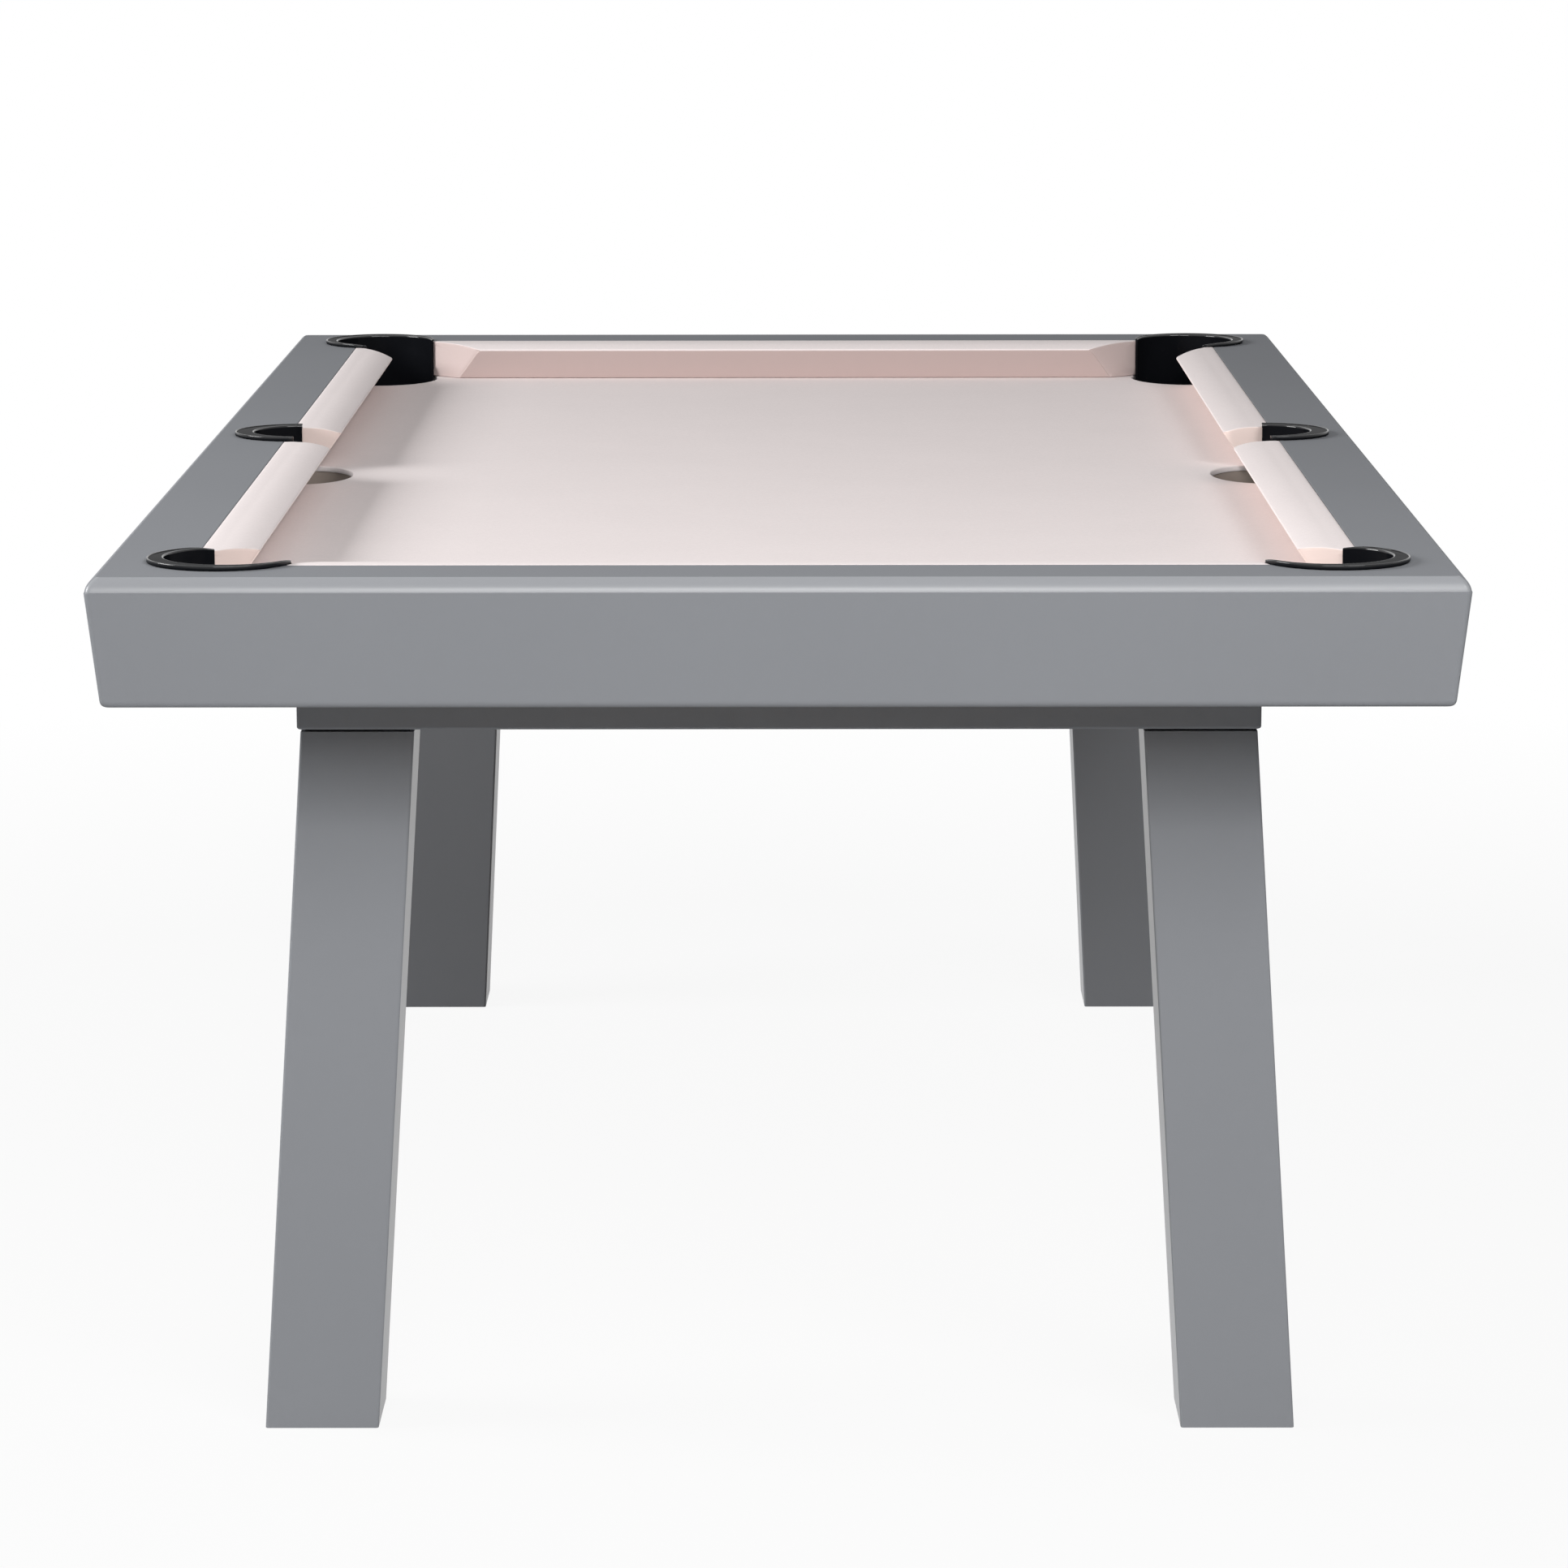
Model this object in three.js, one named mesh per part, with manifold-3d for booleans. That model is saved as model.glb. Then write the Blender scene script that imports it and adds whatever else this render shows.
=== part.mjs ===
// A seven-foot pool table with six moulded pockets, on four splayed block legs. Millimetres, +Z up.
// The origin is on the floor under the middle of the table, and +Y runs along its length.
// Front is -Y, back is +Y, left is -X and right is +X.

import * as THREE from "three";
import { mergeVertices } from "three/addons/utils/BufferGeometryUtils.js";
import Module from "manifold-3d";

const wasm = await Module();
wasm.setup();

// ---- Driving dimensions ------------------------------------------------------------------------

const playWidth = 990.6; // between the noses of the side cushions
const playLength = 1981.2; // between the noses of the end cushions
const tableHeight = 846; // floor to the top of the rails

// Bed
const bedDrop = 44.8; // top of the rails down to the cloth
const clothThickness = 1;
const slabThickness = 25;
const slabEdgeGap = 1; // slab to the foot of the apron, in plan

// Cushions
const cushionWidth = 51.4; // nose to the rail
const noseDrop = 6.4; // top of the rails down to the nose
const noseFaceHeight = 5; // upright strip below the nose
const crownWidth = 26; // nose to where the cushion's top is level
const footSetback = 14; // how far the cushion's foot stands behind its nose
const noseCornerRounding = 8;
const cornerCutAngle = THREE.MathUtils.degToRad(45);
const sideCutDepth = 7; // how much wider a side mouth is at the nose than at the rail

// Rails
const railWidth = 87.9; // inner face to outermost face
const railEdgeRadius = 13.3; // bullnose
const cornerRounding = 6; // of the table's upright corners

// Aprons
const apronHeight = 108.7; // from the bullnose down
const apronThickness = 22;
const apronLean = 11.9; // how far the bottom edge stands in from the top edge
const apronEdgeRadius = 3;

// Corner pockets
const cornerPocketInset = 34.2; // pocket's centre to each rail's inner face
const cornerPocketRadius = 61;
const cornerRimWidth = 18; // at its widest, out on the diagonal
const cornerRimShift = 9; // centre of the rim's outer circle beyond the pocket's centre
const cornerWallReach = 27; // how far wall and rim come back past the pocket's centre
const cornerPocketGap = 6.5; // pocket wall to the cushion's end, along the rail
const cornerHoleMargin = 20; // radius of the slab's cut-out over the pocket wall's
const cornerHoleShift = 4.2; // centre of the slab's cut-out beyond the pocket's, along X and along Y

// Side pockets
const sidePocketInset = 15.7;
const sidePocketRadius = 54;
const sideRimWidth = 21;
const sideRimShift = 9;
const sideWallReach = 3;
const sidePocketGap = 9;
const sideHoleMargin = 27; // half width of the slab's cut-out over the pocket wall's radius
const sideHoleReach = 19.8; // how far the slab's cut-out comes out past the noses

// All pockets
const pocketWall = 3;
const rimHeight = 5; // above the rails
const rimBevel = 1.5;
const cupDepth = 73; // cloth down to the cup's floor
const cupTopGap = 5; // slab down to the cup's inner lip

// Base frame
const frameInsetX = 173.1; // rail's outermost face to the frame's face
const frameInsetY = 223;
const frameDrop = 178; // top of the rails down to the frame's bottom
const beamThickness = 40;
const beamEdgeRadius = 3;
const crossBeamHeight = 90;
const crossBeamThickness = 40;
const crossBeamSpacing = 450;
const cornerBlockHeight = 60;

// Legs
const legWidth = 109; // along X
const legDepth = 101; // along Y
const legEdgeRadius = 2.5;
const legInset = 3.3; // frame's face to the leg's face, at the top
const legSplayX = 37; // how far the leg runs outwards on its way down
const legSplayY = 86;
const legPlateThickness = 2;
const legPlateInset = 4; // leg's face to the plate's edge

// Leg bolts
const boltRadius = 6;
const boltHeadRadius = 10.4; // to the hexagon's corners
const boltHeadHeight = 8;
const boltFlangeRadius = 12;
const boltFlangeThickness = 2.5;
const boltReach = 55; // into the leg

// Levelers
const padRadius = 24;
const padThickness = 5;
const padBevel = 1;
const padFloor = 1.7; // left under the stud's socket
const studRadius = 5;
const studLength = 46;
const collarRadius = 8; // to the hexagon's corners
const collarHeight = 4;
const insertRadius = 7;
const insertLength = 24;
const insertFlangeRadius = 11;
const insertFlangeThickness = 2;
const recessMargin = 3; // round the pad, for fingers to turn it

const seatGap = 0.3; // between pieces that fit each other

// ---- How finely curves are divided, and how cuts are made --------------------------------------

const roundSides = 20; // round a bolt, stud or pad
const pocketSides = 40; // round a pocket
const hexSides = 6;
const bullnoseSides = 5;
const crownSides = 6; // of a cushion's crown and its rounded nose corner
const cornerSides = 3; // half way round a mitred corner
const legEdgeSides = 3;
const easedSides = 4; // of a bar's eased edge
const cutPast = 1; // how far a cut runs past the face that it leaves by

// ---- Levels and places that follow from them ---------------------------------------------------

const railTop = tableHeight;
const rebateTop = railTop - railEdgeRadius; // where the apron meets the rail
const clothTop = railTop - bedDrop;
const slabTop = clothTop - clothThickness;
const slabBottom = slabTop - slabThickness;
const cupTop = slabBottom - cupTopGap;
const cupFloor = clothTop - cupDepth;
const frameBottom = railTop - frameDrop;
const legTop = frameBottom - legPlateThickness;
const blockTop = frameBottom + cornerBlockHeight;

const railInnerX = playWidth / 2 + cushionWidth;
const railInnerY = playLength / 2 + cushionWidth;
const railOuterX = railInnerX + railWidth;
const railOuterY = railInnerY + railWidth;
const slabHalfX = railOuterX - apronThickness - apronLean - slabEdgeGap;
const slabHalfY = railOuterY - apronThickness - apronLean - slabEdgeGap;
const frameHalfX = railOuterX - frameInsetX;
const frameHalfY = railOuterY - frameInsetY;
const beamInnerX = frameHalfX - beamThickness;
const beamInnerY = frameHalfY - beamThickness;

const cornerPocketX = railInnerX - cornerPocketInset;
const cornerPocketY = railInnerY - cornerPocketInset;
const cornerWallRadius = cornerPocketRadius + pocketWall;
const sidePocketX = railInnerX - sidePocketInset;
const sideWallRadius = sidePocketRadius + pocketWall;

const legTopX = frameHalfX - legInset; // outer faces of the leg at its top
const legTopY = frameHalfY - legInset;
const boltX = (legTopX - legWidth + beamInnerX) / 2; // middle of the corner block
const boltY = (legTopY - legDepth + beamInnerY) / 2;
const footX = legTopX + legSplayX - legWidth / 2; // middle of the leg's foot
const footY = legTopY + legSplayY - legDepth / 2;

const collarBottom = padThickness + seatGap;
const recessTop = collarBottom + collarHeight + seatGap;
const insertTop = recessTop + insertLength;
const studBottom = padFloor + seatGap;
const studTop = studBottom + studLength;

// ---- Solids ------------------------------------------------------------------------------------

// A closed three.js geometry as a solid that can be cut and joined.
function solidOf(geometry) {
  const bare = geometry.clone();
  bare.deleteAttribute("normal");
  bare.deleteAttribute("uv");
  const merged = mergeVertices(bare, 1e-4);
  return new wasm.Manifold(
    new wasm.Mesh({
      numProp: 3,
      vertProperties: merged.attributes.position.array,
      triVerts: new Uint32Array(merged.index.array),
    }),
  );
}

// A solid as a three.js geometry.
function geometryOf(solid) {
  const mesh = solid.getMesh();
  const geometry = new THREE.BufferGeometry();
  geometry.setAttribute("position", new THREE.BufferAttribute(mesh.vertProperties, 3));
  geometry.setIndex(new THREE.BufferAttribute(mesh.triVerts, 1));
  return geometry;
}

// A solid skinned over rings that repeat one outline, which runs anticlockwise seen from the first ring.
function loft(outline, rings) {
  const count = outline.length;
  const last = (rings.length - 1) * count;
  const index = [];
  for (let start = 0; start < last; start += count) {
    for (let i = 0; i < count; i++) {
      const a = start + i;
      const b = start + ((i + 1) % count);
      index.push(a, b + count, b, a, a + count, b + count);
    }
  }
  for (const [a, b, c] of THREE.ShapeUtils.triangulateShape(outline, [])) {
    index.push(a, b, c, last + c, last + b, last + a);
  }
  const geometry = new THREE.BufferGeometry();
  geometry.setFromPoints(rings.flat());
  geometry.setIndex(index);
  return geometry;
}

// An upright prism over a plan outline.
function prism(plan, bottom, top, curveSegments = pocketSides / 2) {
  const settings = { depth: top - bottom, bevelEnabled: false, curveSegments };
  return new THREE.ExtrudeGeometry(plan, settings).translate(0, 0, bottom);
}

// An upright cylinder, or a prism with few sides.
function cylinder(radius, bottom, top, sides = roundSides) {
  return new THREE.CylinderGeometry(radius, radius, top - bottom, sides)
    .rotateX(Math.PI / 2)
    .translate(0, 0, (top + bottom) / 2);
}

// A solid of revolution about Z, from the radii and levels of its profile.
function turned(profile, sides = roundSides) {
  const points = profile.map(([radius, level]) => new THREE.Vector2(radius, level));
  return new THREE.LatheGeometry(points, sides).rotateX(Math.PI / 2);
}

function box(low, high) {
  const size = high.map((value, axis) => value - low[axis]);
  const middle = high.map((value, axis) => (value + low[axis]) / 2);
  return new THREE.BoxGeometry(...size).translate(...middle);
}

// ---- Materials ---------------------------------------------------------------------------------

function finish(color, roughness, metalness = 0) {
  return new THREE.MeshStandardMaterial({ color, roughness, metalness });
}

const finishes = {
  paint: finish("#8d9093", 0.45),
  moulding: finish("#1b1b1d", 0.3),
  cloth: finish("#e2d6d4", 0.95),
  slab: finish("#8a7358", 0.8),
  timber: finish("#b08f66", 0.7),
  steel: finish("#8b8d90", 0.35, 1),
  pad: finish("#26262a", 0.7),
};

function piece(name, geometry, material) {
  const mesh = new THREE.Mesh(geometry, material.clone());
  mesh.name = name;
  return mesh;
}

// ---- Rails, aprons and beams: bars mitred at the table's corners -------------------------------

// A bar that lies out along +X. Its section's x is the distance from the table's middle, and its ends
// run out to that distance plus endShift, where it meets the next bar on a 45 degree plane. Rounding
// eases the outer corner, and the inner one stays sharp.
function mitredBar(section, endShift, rounding) {
  const inner = Math.min(...section.map(({ x }) => x));
  const outer = Math.max(...section.map(({ x }) => x));
  const ring = (side, turn) =>
    section.map(({ x, y }) => {
      const radius = (rounding * (x - inner)) / (outer - inner);
      const reach = x + endShift - seatGap / 2 - radius * (1 - Math.sin(turn));
      return new THREE.Vector3(x - radius * (1 - Math.cos(turn)), side * reach, y);
    });
  const turns = Array.from({ length: cornerSides + 1 }, (_, step) => (step / cornerSides) * (Math.PI / 4));
  const front = turns.toReversed().map((turn) => ring(-1, turn));
  const back = turns.map((turn) => ring(1, turn));
  return loft(section, [...front, ...back]);
}

function railSection(inner, outer) {
  const apronSlope = apronLean / apronHeight;
  const rebate = outer - apronThickness - apronSlope * (rebateTop - clothTop) - seatGap;
  const section = new THREE.Shape();
  section.moveTo(inner, clothTop);
  section.lineTo(rebate, clothTop);
  section.lineTo(rebate, rebateTop);
  section.lineTo(outer, rebateTop);
  section.absarc(outer - railEdgeRadius, rebateTop, railEdgeRadius, 0, Math.PI / 2);
  section.lineTo(inner, railTop);
  return section.getPoints(bullnoseSides);
}

function apronSection(outer) {
  const top = rebateTop - seatGap;
  const bottom = rebateTop - apronHeight;
  const foot = outer - apronLean;
  const slope = apronLean / apronHeight;
  const section = new THREE.Shape();
  section.moveTo(outer - apronThickness, top);
  section.lineTo(foot - apronThickness, bottom);
  section.lineTo(foot - apronEdgeRadius, bottom);
  section.quadraticCurveTo(foot, bottom, foot + slope * apronEdgeRadius, bottom + apronEdgeRadius);
  section.lineTo(outer, top);
  return section.getPoints(easedSides);
}

function beamSection(inner, outer) {
  const section = new THREE.Shape();
  section.moveTo(inner, frameBottom);
  section.lineTo(outer - beamEdgeRadius, frameBottom);
  section.quadraticCurveTo(outer, frameBottom, outer, frameBottom + beamEdgeRadius);
  section.lineTo(outer, slabBottom);
  section.lineTo(inner, slabBottom);
  return section.getPoints(easedSides);
}

// The room that a pocket's wall takes in the rails.
function pocketRoom(x, y, wallRadius) {
  const room = cylinder(wallRadius + seatGap, clothTop - cutPast, railTop + cutPast, pocketSides);
  return solidOf(room.translate(x, y, 0));
}

function sideRail() {
  const bar = mitredBar(railSection(railInnerX, railOuterX), railInnerY - railInnerX, cornerRounding);
  return geometryOf(
    solidOf(bar)
      .subtract(pocketRoom(cornerPocketX, -cornerPocketY, cornerWallRadius))
      .subtract(pocketRoom(sidePocketX, 0, sideWallRadius))
      .subtract(pocketRoom(cornerPocketX, cornerPocketY, cornerWallRadius)),
  );
}

function endRail() {
  const bar = mitredBar(railSection(railInnerY, railOuterY), railInnerX - railInnerY, cornerRounding);
  return geometryOf(
    solidOf(bar)
      .subtract(pocketRoom(cornerPocketY, -cornerPocketX, cornerWallRadius))
      .subtract(pocketRoom(cornerPocketY, cornerPocketX, cornerWallRadius)),
  );
}

// ---- Cushions ----------------------------------------------------------------------------------

// A cushion that lies out along +X, its back to a rail at railInner. Each end is {atRail, atNose}.
function cushion(railInner, start, end) {
  const nose = railInner - cushionWidth;
  const back = railInner - seatGap;
  const foot = clothTop + seatGap;
  const noseLevel = railTop - noseDrop;
  const section = new THREE.Shape();
  section.moveTo(nose + footSetback, foot);
  section.lineTo(back, foot);
  section.lineTo(back, railTop);
  section.lineTo(nose + crownWidth, railTop);
  section.quadraticCurveTo(nose, railTop, nose, noseLevel);
  section.lineTo(nose, noseLevel - noseFaceHeight);

  const rounding = noseCornerRounding;
  const easing = (stop) => {
    const towardsRail = new THREE.Vector2(cushionWidth, stop.atRail - stop.atNose).normalize();
    return { x: nose + rounding * towardsRail.x, y: stop.atNose + rounding * towardsRail.y };
  };
  const plan = new THREE.Shape();
  plan.moveTo(back, start.atRail);
  plan.lineTo(back, end.atRail);
  plan.lineTo(easing(end).x, easing(end).y);
  plan.quadraticCurveTo(nose, end.atNose, nose, end.atNose - rounding);
  plan.lineTo(nose, start.atNose + rounding);
  plan.quadraticCurveTo(nose, start.atNose, easing(start).x, easing(start).y);

  const length = end.atRail - start.atRail + 2 * cushionWidth;
  const settings = { depth: length, bevelEnabled: false, curveSegments: crownSides };
  const bar = new THREE.ExtrudeGeometry(section, settings)
    .rotateX(Math.PI / 2)
    .translate(0, (start.atRail + end.atRail + length) / 2, 0);
  const ends = prism(plan, foot - cutPast, railTop + cutPast, crownSides);
  return geometryOf(solidOf(bar).intersect(solidOf(ends)));
}

// Where the cushion on a rail ends beside a corner pocket, whose centre stands at pocket along it.
function cornerStop(pocket) {
  const wall = Math.sqrt(cornerWallRadius ** 2 - cornerPocketInset ** 2);
  const atRail = pocket - wall - cornerPocketGap;
  return { atRail, atNose: atRail - cushionWidth * Math.tan(cornerCutAngle) };
}

function sideCushion() {
  const atRail = sideWallRadius + sidePocketGap;
  return cushion(railInnerX, { atRail, atNose: atRail + sideCutDepth }, cornerStop(cornerPocketY));
}

function endCushion() {
  const { atRail, atNose } = cornerStop(cornerPocketX);
  return cushion(railInnerY, { atRail: -atRail, atNose: -atNose }, { atRail, atNose });
}

// ---- Bed ---------------------------------------------------------------------------------------

// The plan of a corner cut-out: most of a circle, open outwards past the slab's corner.
function cornerHole() {
  const radius = cornerWallRadius + cornerHoleMargin;
  const x = cornerPocketX + cornerHoleShift;
  const y = cornerPocketY + cornerHoleShift;
  const plan = new THREE.Shape();
  plan.moveTo(slabHalfX + cutPast, slabHalfY + cutPast);
  plan.lineTo(x - radius / 2, slabHalfY + cutPast);
  plan.absarc(x, y, radius, (Math.PI * 2) / 3, (Math.PI * 11) / 6);
  plan.lineTo(slabHalfX + cutPast, y - radius / 2);
  return plan;
}

// The plan of a side cut-out: half an ellipse, open to the slab's edge.
function sideHole() {
  const halfWidth = sideWallRadius + sideHoleMargin;
  const reach = sidePocketX - playWidth / 2 + sideHoleReach;
  const plan = new THREE.Shape();
  plan.moveTo(slabHalfX + cutPast, halfWidth);
  plan.lineTo(sidePocketX, halfWidth);
  plan.absellipse(sidePocketX, 0, reach, halfWidth, Math.PI / 2, (Math.PI * 3) / 2);
  plan.lineTo(slabHalfX + cutPast, -halfWidth);
  return plan;
}

// One layer of the bed, with its six cut-outs.
function bedLayer(bottom, top) {
  let layer = solidOf(box([-slabHalfX, -slabHalfY, bottom], [slabHalfX, slabHalfY, top]));
  const cut = (plan, x, y) => {
    const points = plan.getPoints(pocketSides / 4);
    for (const point of points) point.set(x * point.x, y * point.y);
    layer = layer.subtract(solidOf(prism(new THREE.Shape(points), bottom - cutPast, top + cutPast)));
  };
  for (const x of [-1, 1]) {
    cut(cornerHole(), x, -1);
    cut(sideHole(), x, 1);
    cut(cornerHole(), x, 1);
  }
  return geometryOf(layer);
}

// ---- Pockets -----------------------------------------------------------------------------------

// A pocket moulding about its own centre, with the rail towards +X: a rim that lies on the rails, a
// wall below it that stops wallReach short of the bed's side, and a cup that a ball drops into.
function pocket(radius, rimWidth, rimShift, wallReach) {
  const wallRadius = radius + pocketWall;
  const rimRadius = radius + rimWidth - rimShift;
  const rimBottom = railTop + seatGap;
  const rimTop = railTop + rimHeight;
  const rim = turned(
    [
      [0, rimBottom],
      [rimRadius, rimBottom],
      [rimRadius, rimTop - rimBevel],
      [rimRadius - rimBevel, rimTop],
      [0, rimTop],
    ],
    pocketSides,
  ).translate(rimShift, 0, 0);
  const past = wallRadius + cutPast;
  const mouth = box([-past, -past, cupTop], [-wallReach, past, rimTop + cutPast]);
  return geometryOf(
    solidOf(cylinder(wallRadius, cupFloor - pocketWall, rimTop, pocketSides))
      .add(solidOf(rim))
      .subtract(solidOf(cylinder(radius, cupFloor, rimTop + cutPast, pocketSides)))
      .subtract(solidOf(mouth)),
  );
}

// ---- Legs and what joins them to the frame -----------------------------------------------------

function boltBore(bottom, top) {
  return solidOf(cylinder(boltRadius + seatGap, bottom, top).translate(boltX, boltY, 0));
}

function leg() {
  const section = new THREE.Shape();
  section.absarc(-legEdgeRadius, legEdgeRadius - legDepth, legEdgeRadius, -Math.PI / 2, 0);
  section.absarc(-legEdgeRadius, -legEdgeRadius, legEdgeRadius, 0, Math.PI / 2);
  section.absarc(legEdgeRadius - legWidth, -legEdgeRadius, legEdgeRadius, Math.PI / 2, Math.PI);
  section.absarc(legEdgeRadius - legWidth, legEdgeRadius - legDepth, legEdgeRadius, Math.PI, Math.PI * 1.5);
  const outline = section.getPoints(legEdgeSides);
  const ring = (x, y, z) => outline.map((point) => new THREE.Vector3(x + point.x, y + point.y, z));
  const top = ring(legTopX, legTopY, legTop);
  const foot = ring(legTopX + legSplayX, legTopY + legSplayY, 0);
  const block = loft(outline, [top, foot]);
  const bores = [
    cylinder(padRadius + recessMargin, -cutPast, recessTop),
    cylinder(insertFlangeRadius + seatGap, -cutPast, recessTop + insertFlangeThickness + seatGap),
    cylinder(insertRadius + seatGap, -cutPast, insertTop + seatGap),
    cylinder(studRadius + seatGap, -cutPast, studTop + seatGap),
  ];
  let cut = solidOf(block).subtract(boltBore(legTop - boltReach - seatGap, legTop + cutPast));
  for (const bore of bores) cut = cut.subtract(solidOf(bore.translate(footX, footY, 0)));
  return geometryOf(cut);
}

function legPlate() {
  const plate = box(
    [legTopX - legWidth + legPlateInset, legTopY - legDepth + legPlateInset, legTop],
    [legTopX - legPlateInset, legTopY - legPlateInset, frameBottom],
  );
  return geometryOf(solidOf(plate).subtract(boltBore(legTop - cutPast, frameBottom + cutPast)));
}

function cornerBlock() {
  const block = box(
    [legTopX - legWidth, legTopY - legDepth, frameBottom],
    [beamInnerX - seatGap, beamInnerY - seatGap, blockTop],
  );
  return geometryOf(solidOf(block).subtract(boltBore(frameBottom - cutPast, blockTop + cutPast)));
}

function legBolt() {
  const seat = blockTop + seatGap;
  const headBottom = seat + boltFlangeThickness;
  return geometryOf(
    solidOf(cylinder(boltRadius, legTop - boltReach, headBottom))
      .add(solidOf(cylinder(boltFlangeRadius, seat, headBottom)))
      .add(solidOf(cylinder(boltHeadRadius, seat, headBottom + boltHeadHeight, hexSides))),
  ).translate(boltX, boltY, 0);
}

// ---- Levelers ----------------------------------------------------------------------------------

function levelerPad() {
  const socketRadius = studRadius + seatGap;
  return turned([
    [0, 0],
    [padRadius - padBevel, 0],
    [padRadius, padBevel],
    [padRadius, padThickness - padBevel],
    [padRadius - padBevel, padThickness],
    [socketRadius, padThickness],
    [socketRadius, padFloor],
    [0, padFloor],
  ]).translate(footX, footY, 0);
}

function levelerStud() {
  return geometryOf(
    solidOf(cylinder(studRadius, studBottom, studTop)).add(
      solidOf(cylinder(collarRadius, collarBottom, collarBottom + collarHeight, hexSides)),
    ),
  ).translate(footX, footY, 0);
}

function levelerInsert() {
  const bore = studRadius + seatGap;
  return turned([
    [bore, recessTop],
    [insertFlangeRadius, recessTop],
    [insertFlangeRadius, recessTop + insertFlangeThickness],
    [insertRadius, recessTop + insertFlangeThickness],
    [insertRadius, insertTop],
    [bore, insertTop],
    [bore, recessTop],
  ]).translate(footX, footY, 0);
}

// ---- Assembly ----------------------------------------------------------------------------------

// What stands at one corner of the table, modelled at the back right.
function cornerGroup(name) {
  const group = new THREE.Group();
  const cornerPocket = pocket(cornerPocketRadius, cornerRimWidth, cornerRimShift, cornerWallReach)
    .rotateZ(Math.PI / 4)
    .translate(cornerPocketX, cornerPocketY, 0);
  group.add(
    piece(name + "_leg", leg(), finishes.paint),
    piece(name + "_leg_plate", legPlate(), finishes.steel),
    piece(name + "_leg_bolt", legBolt(), finishes.steel),
    piece(name + "_corner_block", cornerBlock(), finishes.timber),
    piece(name + "_leveler_pad", levelerPad(), finishes.pad),
    piece(name + "_leveler_stud", levelerStud(), finishes.steel),
    piece(name + "_leveler_insert", levelerInsert(), finishes.steel),
    piece(name + "_side_cushion", sideCushion(), finishes.cloth),
    piece(name + "_corner_pocket", cornerPocket, finishes.moulding),
  );
  return group;
}

// What lies along one side of the table, modelled at the right.
function sideGroup(name) {
  const group = new THREE.Group();
  const apron = mitredBar(apronSection(railOuterX), railOuterY - railOuterX, cornerRounding);
  const beam = mitredBar(beamSection(beamInnerX, frameHalfX), frameHalfY - frameHalfX, beamEdgeRadius);
  const sidePocket = pocket(sidePocketRadius, sideRimWidth, sideRimShift, sideWallReach);
  group.add(
    piece(name + "_rail", sideRail(), finishes.paint),
    piece(name + "_apron", apron, finishes.paint),
    piece(name + "_frame_beam", beam, finishes.paint),
    piece(name + "_side_pocket", sidePocket.translate(sidePocketX, 0, 0), finishes.moulding),
  );
  return group;
}

// What lies along one end of the table, modelled towards +X.
function endGroup(name) {
  const group = new THREE.Group();
  const apron = mitredBar(apronSection(railOuterY), railOuterX - railOuterY, cornerRounding);
  const beam = mitredBar(beamSection(beamInnerY, frameHalfY), frameHalfX - frameHalfY, beamEdgeRadius);
  group.add(
    piece(name + "_rail", endRail(), finishes.paint),
    piece(name + "_apron", apron, finishes.paint),
    piece(name + "_frame_beam", beam, finishes.paint),
    piece(name + "_end_cushion", endCushion(), finishes.cloth),
  );
  return group;
}

function crossBeam() {
  const length = beamInnerX - seatGap;
  const depth = crossBeamThickness / 2;
  return box([-length, -depth, slabBottom - crossBeamHeight], [length, depth, slabBottom]);
}

const table = new THREE.Group();
table.add(
  piece("bed_slab", bedLayer(slabBottom, slabTop), finishes.slab),
  piece("bed_cloth", bedLayer(slabTop, clothTop), finishes.cloth),
);

for (const [name, step] of Object.entries({ front: -1, middle: 0, back: 1 })) {
  const beam = piece(name + "_cross_beam", crossBeam(), finishes.timber);
  beam.position.y = step * crossBeamSpacing;
  table.add(beam);
}

const sides = { left: -1, right: 1 };
const ends = { front: -1, back: 1 };

for (const [side, x] of Object.entries(sides)) {
  const group = sideGroup(side);
  group.scale.x = x;
  table.add(group);
}

for (const [end, y] of Object.entries(ends)) {
  const group = endGroup(end);
  group.rotation.z = (y * Math.PI) / 2;
  table.add(group);
  for (const [side, x] of Object.entries(sides)) {
    const corner = cornerGroup(end + "_" + side);
    corner.scale.set(x, y, 1);
    table.add(corner);
  }
}

export default table;
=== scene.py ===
"""A seven-foot pool table: the pieces that show, built round its fixed frame. Metres, +Z up."""

import math

import bmesh
import bpy
from mathutils import Matrix, Vector


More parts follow.
